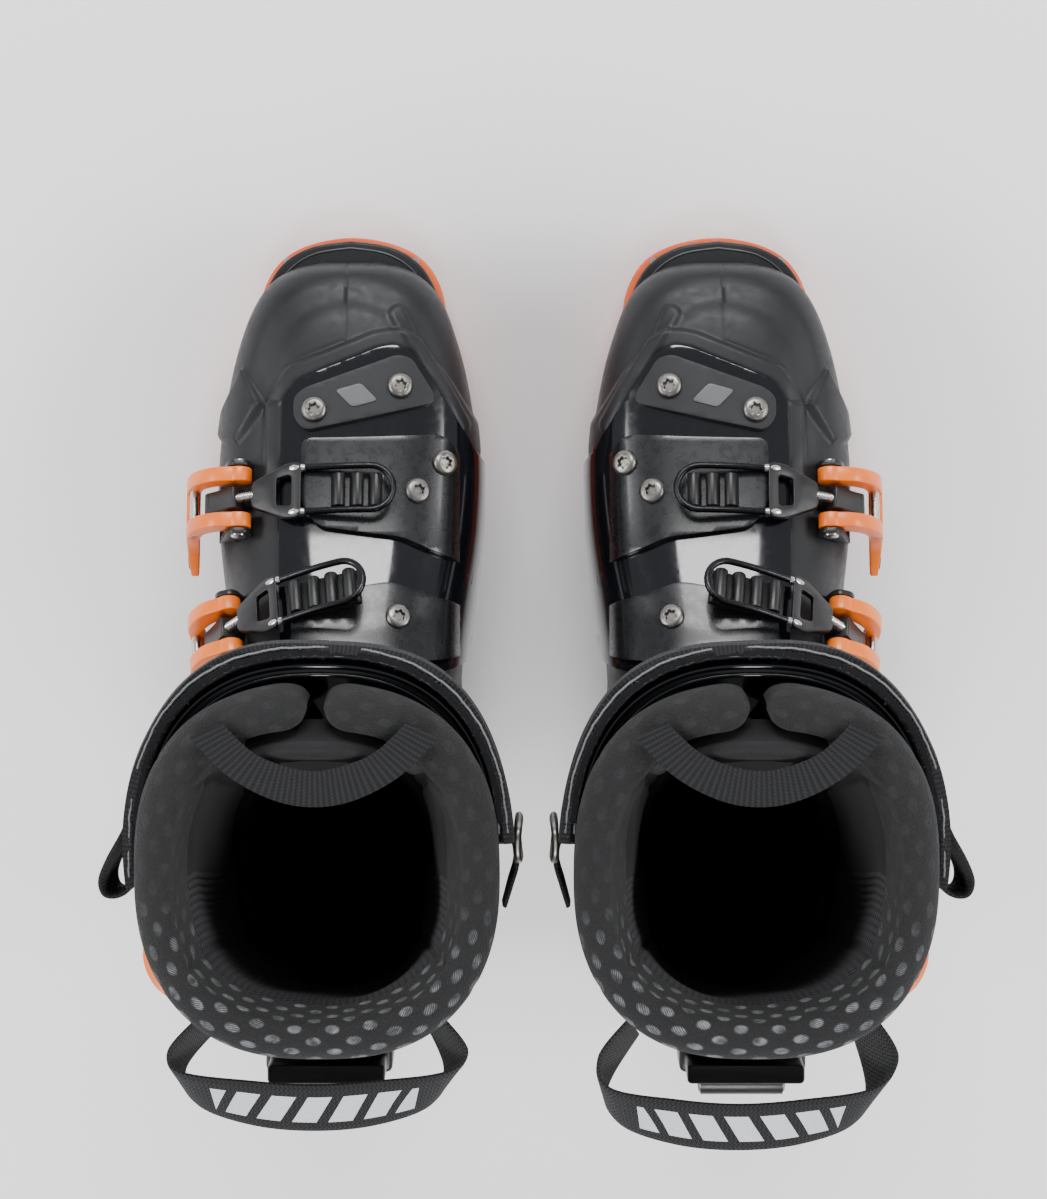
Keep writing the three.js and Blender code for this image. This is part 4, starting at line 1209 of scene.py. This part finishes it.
def framed_plate(kit, outer, inner, height, half):
    """Plate with a window; height gives its middle along the first axis."""
    count = 48

    def ray(outline, a):
        centre = Vector((17.5, 0))
        direction = Vector((math.cos(a), math.sin(a)))
        best = 0
        for i in range(len(outline)):
            p, q = Vector(outline[i]) - centre, Vector(outline[(i + 1) % len(outline)]) - centre
            edge = q - p
            det = direction.x * -edge.y + direction.y * edge.x
            if abs(det) < 1e-9:
                continue
            t = (p.x * -edge.y + p.y * edge.x) / det
            s = (direction.x * p.y - direction.y * p.x) / det
            if t > 0 and -1e-6 <= s <= 1 + 1e-6:
                best = max(best, t)
        return centre + direction * best

    rows = []
    for outline, level in ((outer, 1), (outer, -1), (inner, -1), (inner, 1), (outer, 1)):
        row = []
        for k in range(count):
            p = ray(outline, 2 * math.pi * k / count)
            row.append(Vector((p.x, height(p.x) + level * half, p.y)))
        rows.append(row)
    kit.grid(rows, closed=True)


def base_piece(name, body, mats):
    kit = Kit(buckle_matrix(name))
    ear = rounded([(-8.4, -13.4), (5.6, -6), (4.6, 2), (2.6, 4.4), (-2.6, 4.4), (-4.8, 2)], 2)
    for low, high in ((12.9, 15), (-15, -12.9)):
        kit.prism(ear, low, high)
    kit.prism(bar_outline([(-8, -13.6), (-3, -9.4), (6, -5.2)], [0.9, 0.9, 0.9], 3), -15, 15)
    place(name + "_buckle_ears", kit, body, mats["trim"], [name + "_buckle_base"], edge=0.5)


def rack_piece(name, body, spec, mats):
    matrix = buckle_matrix(name)
    kit = Kit(matrix)
    floor = spec["floor"] - 1.6
    start = RACK_END - spec["teeth"] * PITCH
    deep = 4.0 if name == "cuff" else 2.0
    kit.prism(rounded([(start - 1, floor - deep), (RACK_END, floor - deep), (RACK_END, floor + 0.6),
                       (start - 1, floor + 0.6)], 0.6), -7, 7)
    for k in range(spec["teeth"]):
        u = start + k * PITCH + 1
        tooth = [(u - 0.2, floor), (u + 5.4, floor), (u + 5.6, floor + 3.2), (u + 4.6, floor + 4.6),
                 (u + 2.8, floor + 5.1), (u + 1.0, floor + 4.0), (u, floor + 2)]
        kit.prism(rounded(tooth, 0.9, 3), -6.6, 6.6)
    place(name + "_teeth", kit, body, mats["trim"], [name + "_rack"], edge=0.55)


def buckles(mats):
    for name, spec in BUCKLES.items():
        body = "upper" if name == "cuff" else "feet"
        base_piece(name, body, mats)
        lever_piece(name, spec, mats)
        bail_piece(name, mats)
        rack_piece(name, body, spec, mats)


# ---------------------------------------------------------------- walk lever
def walk_lever(mats):
    kit = Kit(Matrix(((0, 0, 1, 0), (1, 0, 0, 0), (0, 1, 0, 0), (0, 0, 0, 1))))
    bar = bar_outline([(-147, 232), (-148, 212), (-150, 170), (-151.5, 118)], [3.4, 3.2, 2.8, 2.3])
    kit.prism(bar, -12, 12)
    kit.prism(rounded([(-150.5, 166), (-155.6, 160), (-153.6, 184), (-150.5, 184)], 1), -9, 9)
    kit.prism(circle(4, 24, (-147, 232)), -15, 15)
    place("walk_lever_arm", kit, "walk_arm", mats["trim"], ["walk_lever"], edge=0.9)
    mark = Kit()
    mark.prism(rounded([(-4.5, -151.2), (4.5, -151.2), (4.5, -149.4), (-4.5, -149.4)], 0.5), 218, 224)
    place("walk_lever_mark", mark, "walk_arm", mats["blue"], edge=0.4)
    plate = Kit()
    plate.prism(rounded([(-21, -140), (21, -140), (21, -133), (-21, -133)], 2), 236, 262)
    place("walk_lever_plate", plate, "upper", mats["trim"], edge=1)
    # pins of the hinge, seen as steel ends
    pins = Kit()
    pin = [(0.2, 0.8), (2.6, 0.6), (3.2, 0), (3.2, -1.5)]
    for sign in (1, -1):
        pins.turned(pin, (sign * 15.2, -147, 232), (sign, 0, 0), 24)
    place("walk_lever_pins", pins, "walk_arm", mats["steel"])


# ---------------------------------------------------------------- liner
RIM_GAP = 3.2  # half the front gap between the rim's lobes, in degrees
SLEEVE_TOP = 322
# The rolled rim from outside to inside: height and lift.
RIM_ROLL = [
    (302, 0.4), (305, 0.8), (308.5, 0.9), (312, 1.0), (315.5, 0.6), (318.5, -0.6), (320.8, -2.6), (322, -5.2),
    (322.2, -7.8), (321, -10.4), (318.5, -12.4), (315, -13.6), (310, -14.0), (304, -13.4),
]
# The lining below the sleeve: height, half width, rear y, front y.
LOWER_LINING = [
    (156, 34, -119, -40), (142, 33, -118, -36), (126, 32, -118, -32), (108, 31, -122, -26),
    (88, 30.5, -124, -18), (70, 30, -122, -8), (56, 28, -118, 4), (46, 25, -112, 12),
]


def liner_profile(turn):
    """Cross-section of the padded sleeve at a place round it: outer wall, rolled rim, inner wall."""
    outer = [leg_point(SLEEVE, turn, z, -0.2) for z in (176, 190, 205, 220, 235, 250, 265, 280, 292, 299)]
    inner = [leg_point(SLEEVE, turn, z, -12.5) for z in (296, 284, 270, 255, 240, 225, 210, 195, 180, 168)]
    rim = []
    for z, lift in RIM_ROLL:
        above = Vector((0, 0, max(z - SLEEVE_TOP, 0)))
        rim.append(leg_point(SLEEVE, turn, min(z, SLEEVE_TOP), lift) + above)
    return outer + rim + inner


def lower_lining(turn):
    """Continues the inner wall down into the foot: an oval that narrows to the footbed."""
    rows = []
    for z, half, rear, front in LOWER_LINING:
        c, s = math.cos(turn), math.sin(turn)
        r = (abs(c) ** 2.4 + abs(s) ** 2.4) ** (-1 / 2.4)
        rows.append(Vector((half * c * r, (rear + front) / 2 + (front - rear) / 2 * s * r, z)))
    return rows


def padding(turn, z, inner):
    """Soft swelling between the seams of the liner."""
    degrees = math.degrees(turn) % 360
    angle = math.radians(degrees)
    quilts = 0.9 * math.sin(angle * 3 + z * 0.02) + 0.5 * math.sin(angle * 7 - z * 0.05)
    seam = 0.0
    for line in (35, 145, 215, 325):
        away = abs((degrees - line + 180) % 360 - 180)
        seam -= 1.5 * math.exp(-((away / 1.6) ** 2)) if inner else 0.7 * math.exp(-((away / 1.2) ** 2))
    return (quilts if inner else quilts * 0.4) + seam


def liner_sleeve(mats):
    """The padded sleeve: one wall that rolls over its rim and ends in two lobes at the front."""
    columns = 240
    first, last = 90 + RIM_GAP, 450 - RIM_GAP
    rows_by_turn = []
    for k in range(columns + 1):
        s = k / columns
        degrees = first + (last - first) * s
        turn = math.radians(degrees)
        profile = liner_profile(turn)
        # the two front lobes are rounded at their ends and lean into the boot
        end = min(degrees - first, last - degrees)
        closing = math.sqrt(max(1 - (1 - min(end / 10.0, 1)) ** 2, 0))
        row = []
        for i, p in enumerate(profile):
            inner = i > 19
            middle = leg_point(SLEEVE, turn, p.z if p.z < 300 else 300, -6.5)
            middle.z = p.z
            swell = padding(turn, p.z, inner)
            outward = Vector((p.x - middle.x, p.y - middle.y, 0)).normalized()
            q = p + outward * (swell if inner else min(swell, 0.3) * 0.6)
            q = middle.lerp(q, 0.12 + 0.88 * closing)
            lobe = math.exp(-(((end - 13) / 14) ** 2))
            if p.z > 296:
                q.z += 3.0 * lobe - 5.5 * (1 - closing) - 2.0 * math.exp(-(((degrees - 270) / 50) ** 2))
            row.append(q)
        rows_by_turn.append(row)
    heights = [0.0]
    sample = liner_profile(math.radians(180))
    for a, b in zip(sample, sample[1:]):
        heights.append(heights[-1] + (b - a).length)
    kit = Kit()

    def uv(a, b):
        return (a / columns * 330.0, heights[b])

    def slot_of(r, i):
        degrees = (first + (last - first) * r / columns) % 360
        if i < 23:
            return 0
        return 1 if 185 < degrees < 355 else 2

    kit.grid(rows_by_turn, uv=uv, slot_of=slot_of)

    def soften(piece):
        smooth_it = piece.modifiers.new("subdivide", "SUBSURF")
        smooth_it.levels = smooth_it.render_levels = 1

    cloths = [mats["dotted"], mats["knit"], mats["lining"]]
    place(
        "liner_sleeve_pad", kit, "upper", cloths, ["liner_sleeve"], finish=soften, seam=180,
    )


def liner_sock(mats):
    """The inner lining from the sleeve down to the sole."""
    turns = even_turns(120)
    rows = [[leg_point(SLEEVE, t, z, -13.2) for t in turns] for z in (200, 184, 170)]
    rows += [list(row) for row in zip(*map(lower_lining, turns))]
    kit = Kit()
    kit.grid(rows, closed=True, uv=lambda a, b: (b * 2.4, a * 14.0))

    place(
        "liner_sock", kit, "feet", mats["lining"],
        finish=lambda piece: thicken(piece, 3, 1), seam=180,
        blend=("upper", (0, -72, 96), (0, -72, 176)),
    )


FOOTBED_PLAN = [
    (0, -112), (18, -104), (23, -80), (24, -20), (27, 40), (26, 76), (16, 98), (-6, 104), (-22, 92),
    (-27, 60), (-23, 0), (-21, -80), (-16, -104),
]


def liner_foot(mats):
    """Forefoot and heel part of the liner inside the shell, open at the ankle."""
    stations = station_list([((-143, -120), 3.0), ((-120, 110), 5.0), ((110, 145.5), 2.5)])
    turns = even_turns(96, 0.5)
    kit = Kit()
    kit.grid([[Foot.point(t, y, -5.2) for t in turns] for y in stations], closed=True, capped=True,
             uv=lambda a, b: (b * 3.0, a * 5.0))

    def wall(piece):
        cut_above(piece.data, 125)
        thicken(piece, 5.5, -1)

    place(
        "liner_foot_pad", kit, "feet", mats["lining"], ["liner_foot"], finish=wall, seam=180,
    )
    bed = Kit()
    bed.prism(closed_curve(FOOTBED_PLAN, 4), 41, 45)
    place("footbed_pad", bed, "feet", mats["lining"], ["footbed"], edge=1.4)


# Depth of the tongue's shin side inside the sleeve, by height.
TONGUE_DEPTH = [(172, 26), (230, 26.5), (280, 24.5), (310, 21.5), (334, 19.5)]


def tongue_point(share, rise, face):
    """Tongue surface: share from -1 to 1 across, rise from 0 to 1 up, face 0 in front and 1 at the shin."""
    top = 331 - 9 * share**2
    z = 172 + (top - 172) * rise
    edge = math.sqrt(max(1 - max((rise - 0.94) / 0.06, 0) ** 2, 0)) * math.sqrt(max(1 - share**8, 0))
    depth = smooth(TONGUE_DEPTH, z, 1)
    middle = (13.5 + depth) / 2
    lift = middle + (face - 0.5) * (depth - 13.5) * edge
    turn = math.radians(90 - 31 * share)
    return leg_point(SLEEVE, turn, min(z, 322), -lift) + Vector((0, 0.12 * max(z - 322, 0), max(z - 322, 0)))


def tongue(mats):
    """Padded tongue that follows the liner's front wall, with a stitched border round its top."""
    across, up = 44, 54
    rises = [1 - (1 - k / up) ** 1.4 for k in range(up + 1)]
    shares = [math.sin(math.pi / 2 * (2 * k / across - 1)) for k in range(across + 1)]
    rows = []
    for rise in rises:
        front = [tongue_point(s, rise, 0) for s in shares]
        shin = [tongue_point(s, rise, 1) for s in shares[::-1]]
        rows.append(front + shin)
    kit = Kit()
    kit.grid(rows, closed=True, capped=True, uv=lambda a, b: (b * 1.4, rises[a] * 160))
    place("tongue_pad", kit, "upper", mats["tongue"], ["liner_tongue"], seam=180)
    border = Kit()
    for inset in (0.05, 0.085):
        path = []
        for k in range(81):
            a = math.pi * k / 80
            share = -math.cos(a) * (0.96 - inset)
            rise = 0.80 + (0.965 - inset * 0.6 - 0.80) * math.sin(a) ** 0.6
            path.append(tongue_point(share, rise, 1.04))
        for k in range(0, 79, 2):
            border.tube([path[k], path[k + 1], path[k + 1].lerp(path[k + 2], 0.35)], 0.42, 6)
    place("tongue_stitches", border, "upper", mats["thread"])


def inner_pads(mats):
    """Two shin pads on the liner's front inner walls."""
    kit = Kit()
    for centre in (52, 128):
        rows = []
        for i in range(17):
            v = i / 16
            z = 232 + 84 * v
            row = []
            for k in range(25):
                u = k / 24 * 2 - 1
                turn = math.radians(centre + 15 * u * (1 - 0.25 * (2 * v - 1) ** 2))
                dome = max((1 - u**4) * (1 - (2 * v - 1) ** 4), 0) ** 0.5
                row.append(leg_point(SLEEVE, turn, min(z, 312), -12.2 - 4.5 * dome))
            rows.append(row)
        kit.grid(rows, uv=lambda a, b: (b * 1.5, a * 5.0))
    place("shin_pads", kit, "upper", mats["dotted"], seam=180)


# ---------------------------------------------------------------- straps and loops
def tape(kit, top, bottom, steps, thickness, across=6):
    """Woven tape between two edge curves, with rounded selvedges."""
    upper = spline(top, steps)
    lower = spline(bottom, steps)
    length = [0.0]
    for a, b in zip(upper, upper[1:]):
        length.append(length[-1] + (b - a).length)
    rows, count = [], len(upper)
    for i in range(count):
        a, b = upper[i], lower[i]
        along = upper[min(i + 1, count - 1)] - upper[max(i - 1, 0)]
        n = along.cross(b - a).normalized()
        row = []
        for side in (1, -1):
            for k in range(across + 1):
                v = k / across if side > 0 else 1 - k / across
                thin = 0.55 if v in (0, 1) else 1.0
                row.append(a.lerp(b, v) + n * (side * thickness / 2 * thin))
        rows.append(row)
    wide = (Vector(top[len(top) // 2]) - Vector(bottom[len(bottom) // 2])).length
    per_row = 2 * (across + 1)

    def uv(a, b):
        b = b % per_row
        v = b / across if b <= across else (per_row - 1 - b) / across
        return (length[a] - length[-1] / 2, v * wide)

    kit.grid(rows, closed=True, capped=True, uv=uv)


REAR_TOP = [(43, -108, 297), (52, -120, 295), (46, -128, 293), (22, -131.5, 291.5), (0, -133, 291)]
REAR_BOTTOM = [(38, -118, 271), (46, -132, 272), (41, -144, 275), (22, -150.5, 277.5), (0, -152.5, 278)]
FRONT_TOP = [(31, 0, 326), (21, -9, 329), (11, -13.5, 330), (0, -15.5, 330)]
FRONT_BOTTOM = [(42, -5, 324.5), (29, -17.5, 327), (14, -25.5, 328), (0, -28, 328)]
REAR_HANG = {"right": (-4.0, 7.0), "left": (3.5, 0.0)}  # how far each rear loop hangs sideways and rearwards


def both_halves(half):
    return half + [(-x, y, z) for x, y, z in half[-2::-1]]


def hung(half, shift, drop):
    """A rear loop's edge, pulled sideways and rearwards the more the farther it is from the boot."""
    points = []
    for x, y, z in both_halves(half):
        loose = ease(-y, 112, 134)
        points.append((x + shift * loose, y - drop * loose, z))
    return points


def pull_loops(mats):
    """The rear loops, which hang differently on the two boots, and the front loops."""
    for side, hang in REAR_HANG.items():
        kit = Kit()
        tape(kit, hung(REAR_TOP, *hang), hung(REAR_BOTTOM, *hang), 12, 1.7, 12)
        place(
            "rear_loop_tape", kit, "upper", mats["marked"], ["rear_pull_loop"], seam=60, only=side,
        )
    kit = Kit()
    tape(kit, both_halves(FRONT_TOP), both_halves(FRONT_BOTTOM), 12, 1.5, 10)
    place("front_loop_tape", kit, "upper", mats["ribbed"], ["front_pull_loop"], seam=60)


STRAP = [(z, half, rear, front + (2.5 if z > 240 else 0)) for z, half, rear, front in CUFF]


def strap_point(turn, z, lift):
    """A place on the power strap, which stands off the cuff a little in front."""
    return leg_point(STRAP, turn, min(z, CUFF_TOP), lift) + Vector((0, 0, max(z - CUFF_TOP, 0)))


def power_strap(mats):
    """The strap round the cuff's front, its hook-and-loop facing, its frayed edge and its tail."""
    first, last = -8, 176
    count = 150
    layers = Kit()
    rows = []
    for k in range(count + 1):
        turn = math.radians(first + (last - first) * k / count)
        wave_up = 1.2 * math.sin(k * 0.09) + 0.5 * math.sin(k * 0.31)
        row = []
        for side in (1, -1):
            for i in range(9):
                v = i / 8 if side > 0 else 1 - i / 8
                z = 257.5 + 45.5 * v + wave_up * (0.3 + 0.5 * v)
                lift = 1.6 + (4.6 if side > 0 else 0.0) - (0.7 if v in (0, 1) else 0) * side
                lift += 1.4 * v * v * (0.5 + 0.5 * math.sin(k * 0.13))
                row.append(strap_point(turn, z, lift))
        rows.append(row)
    layers.grid(rows, closed=True, capped=True, uv=lambda a, b: (a * 1.5, min(b % 18, 17 - b % 18) * 5.6))
    place("power_strap_tape", layers, "upper", mats["webbing"], ["power_strap"], seam=60)
    # hook-and-loop facing on the inner side, its frayed edge showing above the tape
    facing = Kit()
    rows = []
    rng = random.Random(7)
    for k in range(count * 2 + 1):
        turn = math.radians(first + 6 + (last - first - 12) * k / (count * 2))
        rough = rng.uniform(-0.25, 0.25)
        row = []
        low, high = ((0.0, 1.5), (0.0, 0.9)), ((1.0, 1.0 + rough), (1.06, 1.6 + rough), (1.05, 3.4 + rough))
        for v, lift in (*low, *high, (0.95, 4.0)):
            row.append(strap_point(turn, 262 + 40 * v + rough, lift))
        rows.append(row)
    facing.grid(rows, closed=True, capped=True, uv=lambda a, b: (a * 0.8, b * 4.0))
    place("strap_facing", facing, "upper", mats["fuzz"], seam=60)
    fibres(mats)
    tail(mats)


def fibres(mats):
    """Pale loose fibres along the strap facing's upper edge."""
    rng = random.Random(11)
    kit = Kit()
    for _ in range(1300):
        turn = math.radians(rng.uniform(-6, 174))
        lift = rng.choice((rng.gauss(1.7, 0.35), rng.gauss(4.6, 0.35)))
        z = 303.4 + rng.uniform(-1.6, 0.6)
        base = strap_point(turn, z, lift)
        lean = Vector((rng.gauss(0, 0.45), rng.gauss(0, 0.45), rng.uniform(0.2, 0.9)))
        side = Vector((rng.gauss(0, 1), rng.gauss(0, 1), 0)).normalized() * 0.05
        mid = base + lean * 0.6
        tip = base + lean + Vector((rng.gauss(0, 0.4), rng.gauss(0, 0.4), -0.2))
        n = len(kit.points)
        kit.points += [base - side, base + side, mid + side, mid - side, tip]
        kit.faces += [[n, n + 1, n + 2, n + 3], [n + 3, n + 2, n + 4]]
        kit.uvs += [[(0, 0)] * 4, [(0, 0)] * 3]
        kit.slots += [0, 0]
    place("strap_fray", kit, "upper", mats["fray"], seam=180)
    edges = Kit()
    for lift, radius in ((1.7, 0.3), (4.6, 0.38)):
        path = []
        for k in range(401):
            turn = math.radians(-5 + 178 * k / 400)
            drift = 0.25 * math.sin(k * 0.21) + 0.15 * math.sin(k * 0.57) + rng.gauss(0, 0.07)
            path.append(strap_point(turn, 303.5 + drift, lift + 0.5 * drift))
        edges.tube(path, radius, 6)
    place("strap_edges", edges, "upper", mats["fray"], seam=180)


def tail(mats):
    """Folded webbing tail at the lateral end, and the wire ring with its tab at the medial end."""
    kit = Kit()
    top = [
        (64, -32, 297), (68, -42, 297), (73.5, -52, 296), (76.5, -60, 294), (75, -65.5, 292), (70, -66, 291),
        (66, -62, 291), (64.5, -55, 291),
    ]
    bottom = [
        (62.5, -36, 264), (66.5, -46, 263), (71, -55, 262), (73.5, -62, 262), (72.5, -67, 262),
        (68.5, -67.5, 263), (65, -64, 263), (63.5, -57, 264),
    ]
    tape(kit, top, bottom, 8, 1.6, 6)
    tab_top = [(-63, -38, 294), (-67, -46, 294), (-68.5, -54, 293), (-66.5, -62, 292), (-64, -70, 291)]
    tab_bottom = [(-62.5, -40, 266), (-66, -48, 265), (-67.5, -56, 265), (-65.5, -64, 265), (-63.5, -72, 266)]
    tape(kit, tab_top, tab_bottom, 8, 1.6, 6)
    place("strap_tail", kit, "upper", mats["webbing"], seam=60)
    ring = Kit()
    centre = Vector((-69.2, -47, 281))
    path = []
    for a in even_turns(48):
        c, s = math.cos(a), math.sin(a)
        r = (abs(c) ** 4 + abs(s) ** 4) ** (-1 / 4)
        path.append(centre + Vector((0.8 * s * s, 6.5 * c * r, 15 * s * r)))
    ring.tube(path, 1.3, 12, closed=True)
    place("strap_ring", ring, "upper", mats["steel"])


# ---------------------------------------------------------------- floor and light
def stage():
    """A plain pale floor, a soft surround and four softboxes."""
    mesh = bpy.data.meshes.new("floor")
    half = 3.0
    corners = [(-half, -half, 0), (half, -half, 0), (half, half, 0), (-half, half, 0)]
    mesh.from_pydata(corners, [], [(0, 1, 2, 3)])
    floor = bpy.data.objects.new("floor", mesh)
    floor.location.z = -0.0002
    bpy.context.scene.collection.objects.link(floor)
    material, _, shader = node_material("floor_paint")
    shader.inputs["Base Color"].default_value = (0.86, 0.86, 0.87, 1)
    shader.inputs["Roughness"].default_value = 0.9
    shader.inputs["Specular IOR Level"].default_value = 0.1
    mesh.materials.append(material)
    world = bpy.data.worlds.new("studio")
    bpy.context.scene.world = world
    world.use_nodes = True
    backdrop = world.node_tree.nodes["Background"]
    backdrop.inputs[0].default_value = (0.9, 0.93, 1.0, 1)
    backdrop.inputs[1].default_value = 0.42
    # name, place in metres, turn in degrees, size in metres, power in watts
    lights = [
        ("softbox_top", (0.0, -0.95, 1.9), (27, 0, 0), (1.3, 0.6), 42),
        ("softbox_front", (0.0, 1.45, 1.25), (-50, 0, 0), (1.3, 0.42), 30),
        ("softbox_left", (-1.5, 0.15, 1.0), (0, -57, 0), (0.45, 1.3), 20),
        ("softbox_right", (1.5, 0.15, 1.0), (0, 57, 0), (0.45, 1.3), 20),
    ]
    for name, at, turn, size, power in lights:
        data = bpy.data.lights.new(name, "AREA")
        data.shape = "RECTANGLE"
        data.size, data.size_y = size
        data.energy = power
        light = bpy.data.objects.new(name, data)
        light.location = at
        light.rotation_euler = [math.radians(a) for a in turn]
        bpy.context.scene.collection.objects.link(light)


def main():
    make_camera()
    mats = make_materials()
    stage()
    lower_shell(mats)
    instep(mats)
    sole(mats)
    inserts(mats)
    fasteners(mats)
    cuff_body(mats)
    walk_lever(mats)
    buckles(mats)
    liner_sleeve(mats)
    liner_sock(mats)
    liner_foot(mats)
    tongue(mats)
    inner_pads(mats)
    pull_loops(mats)
    power_strap(mats)


main()
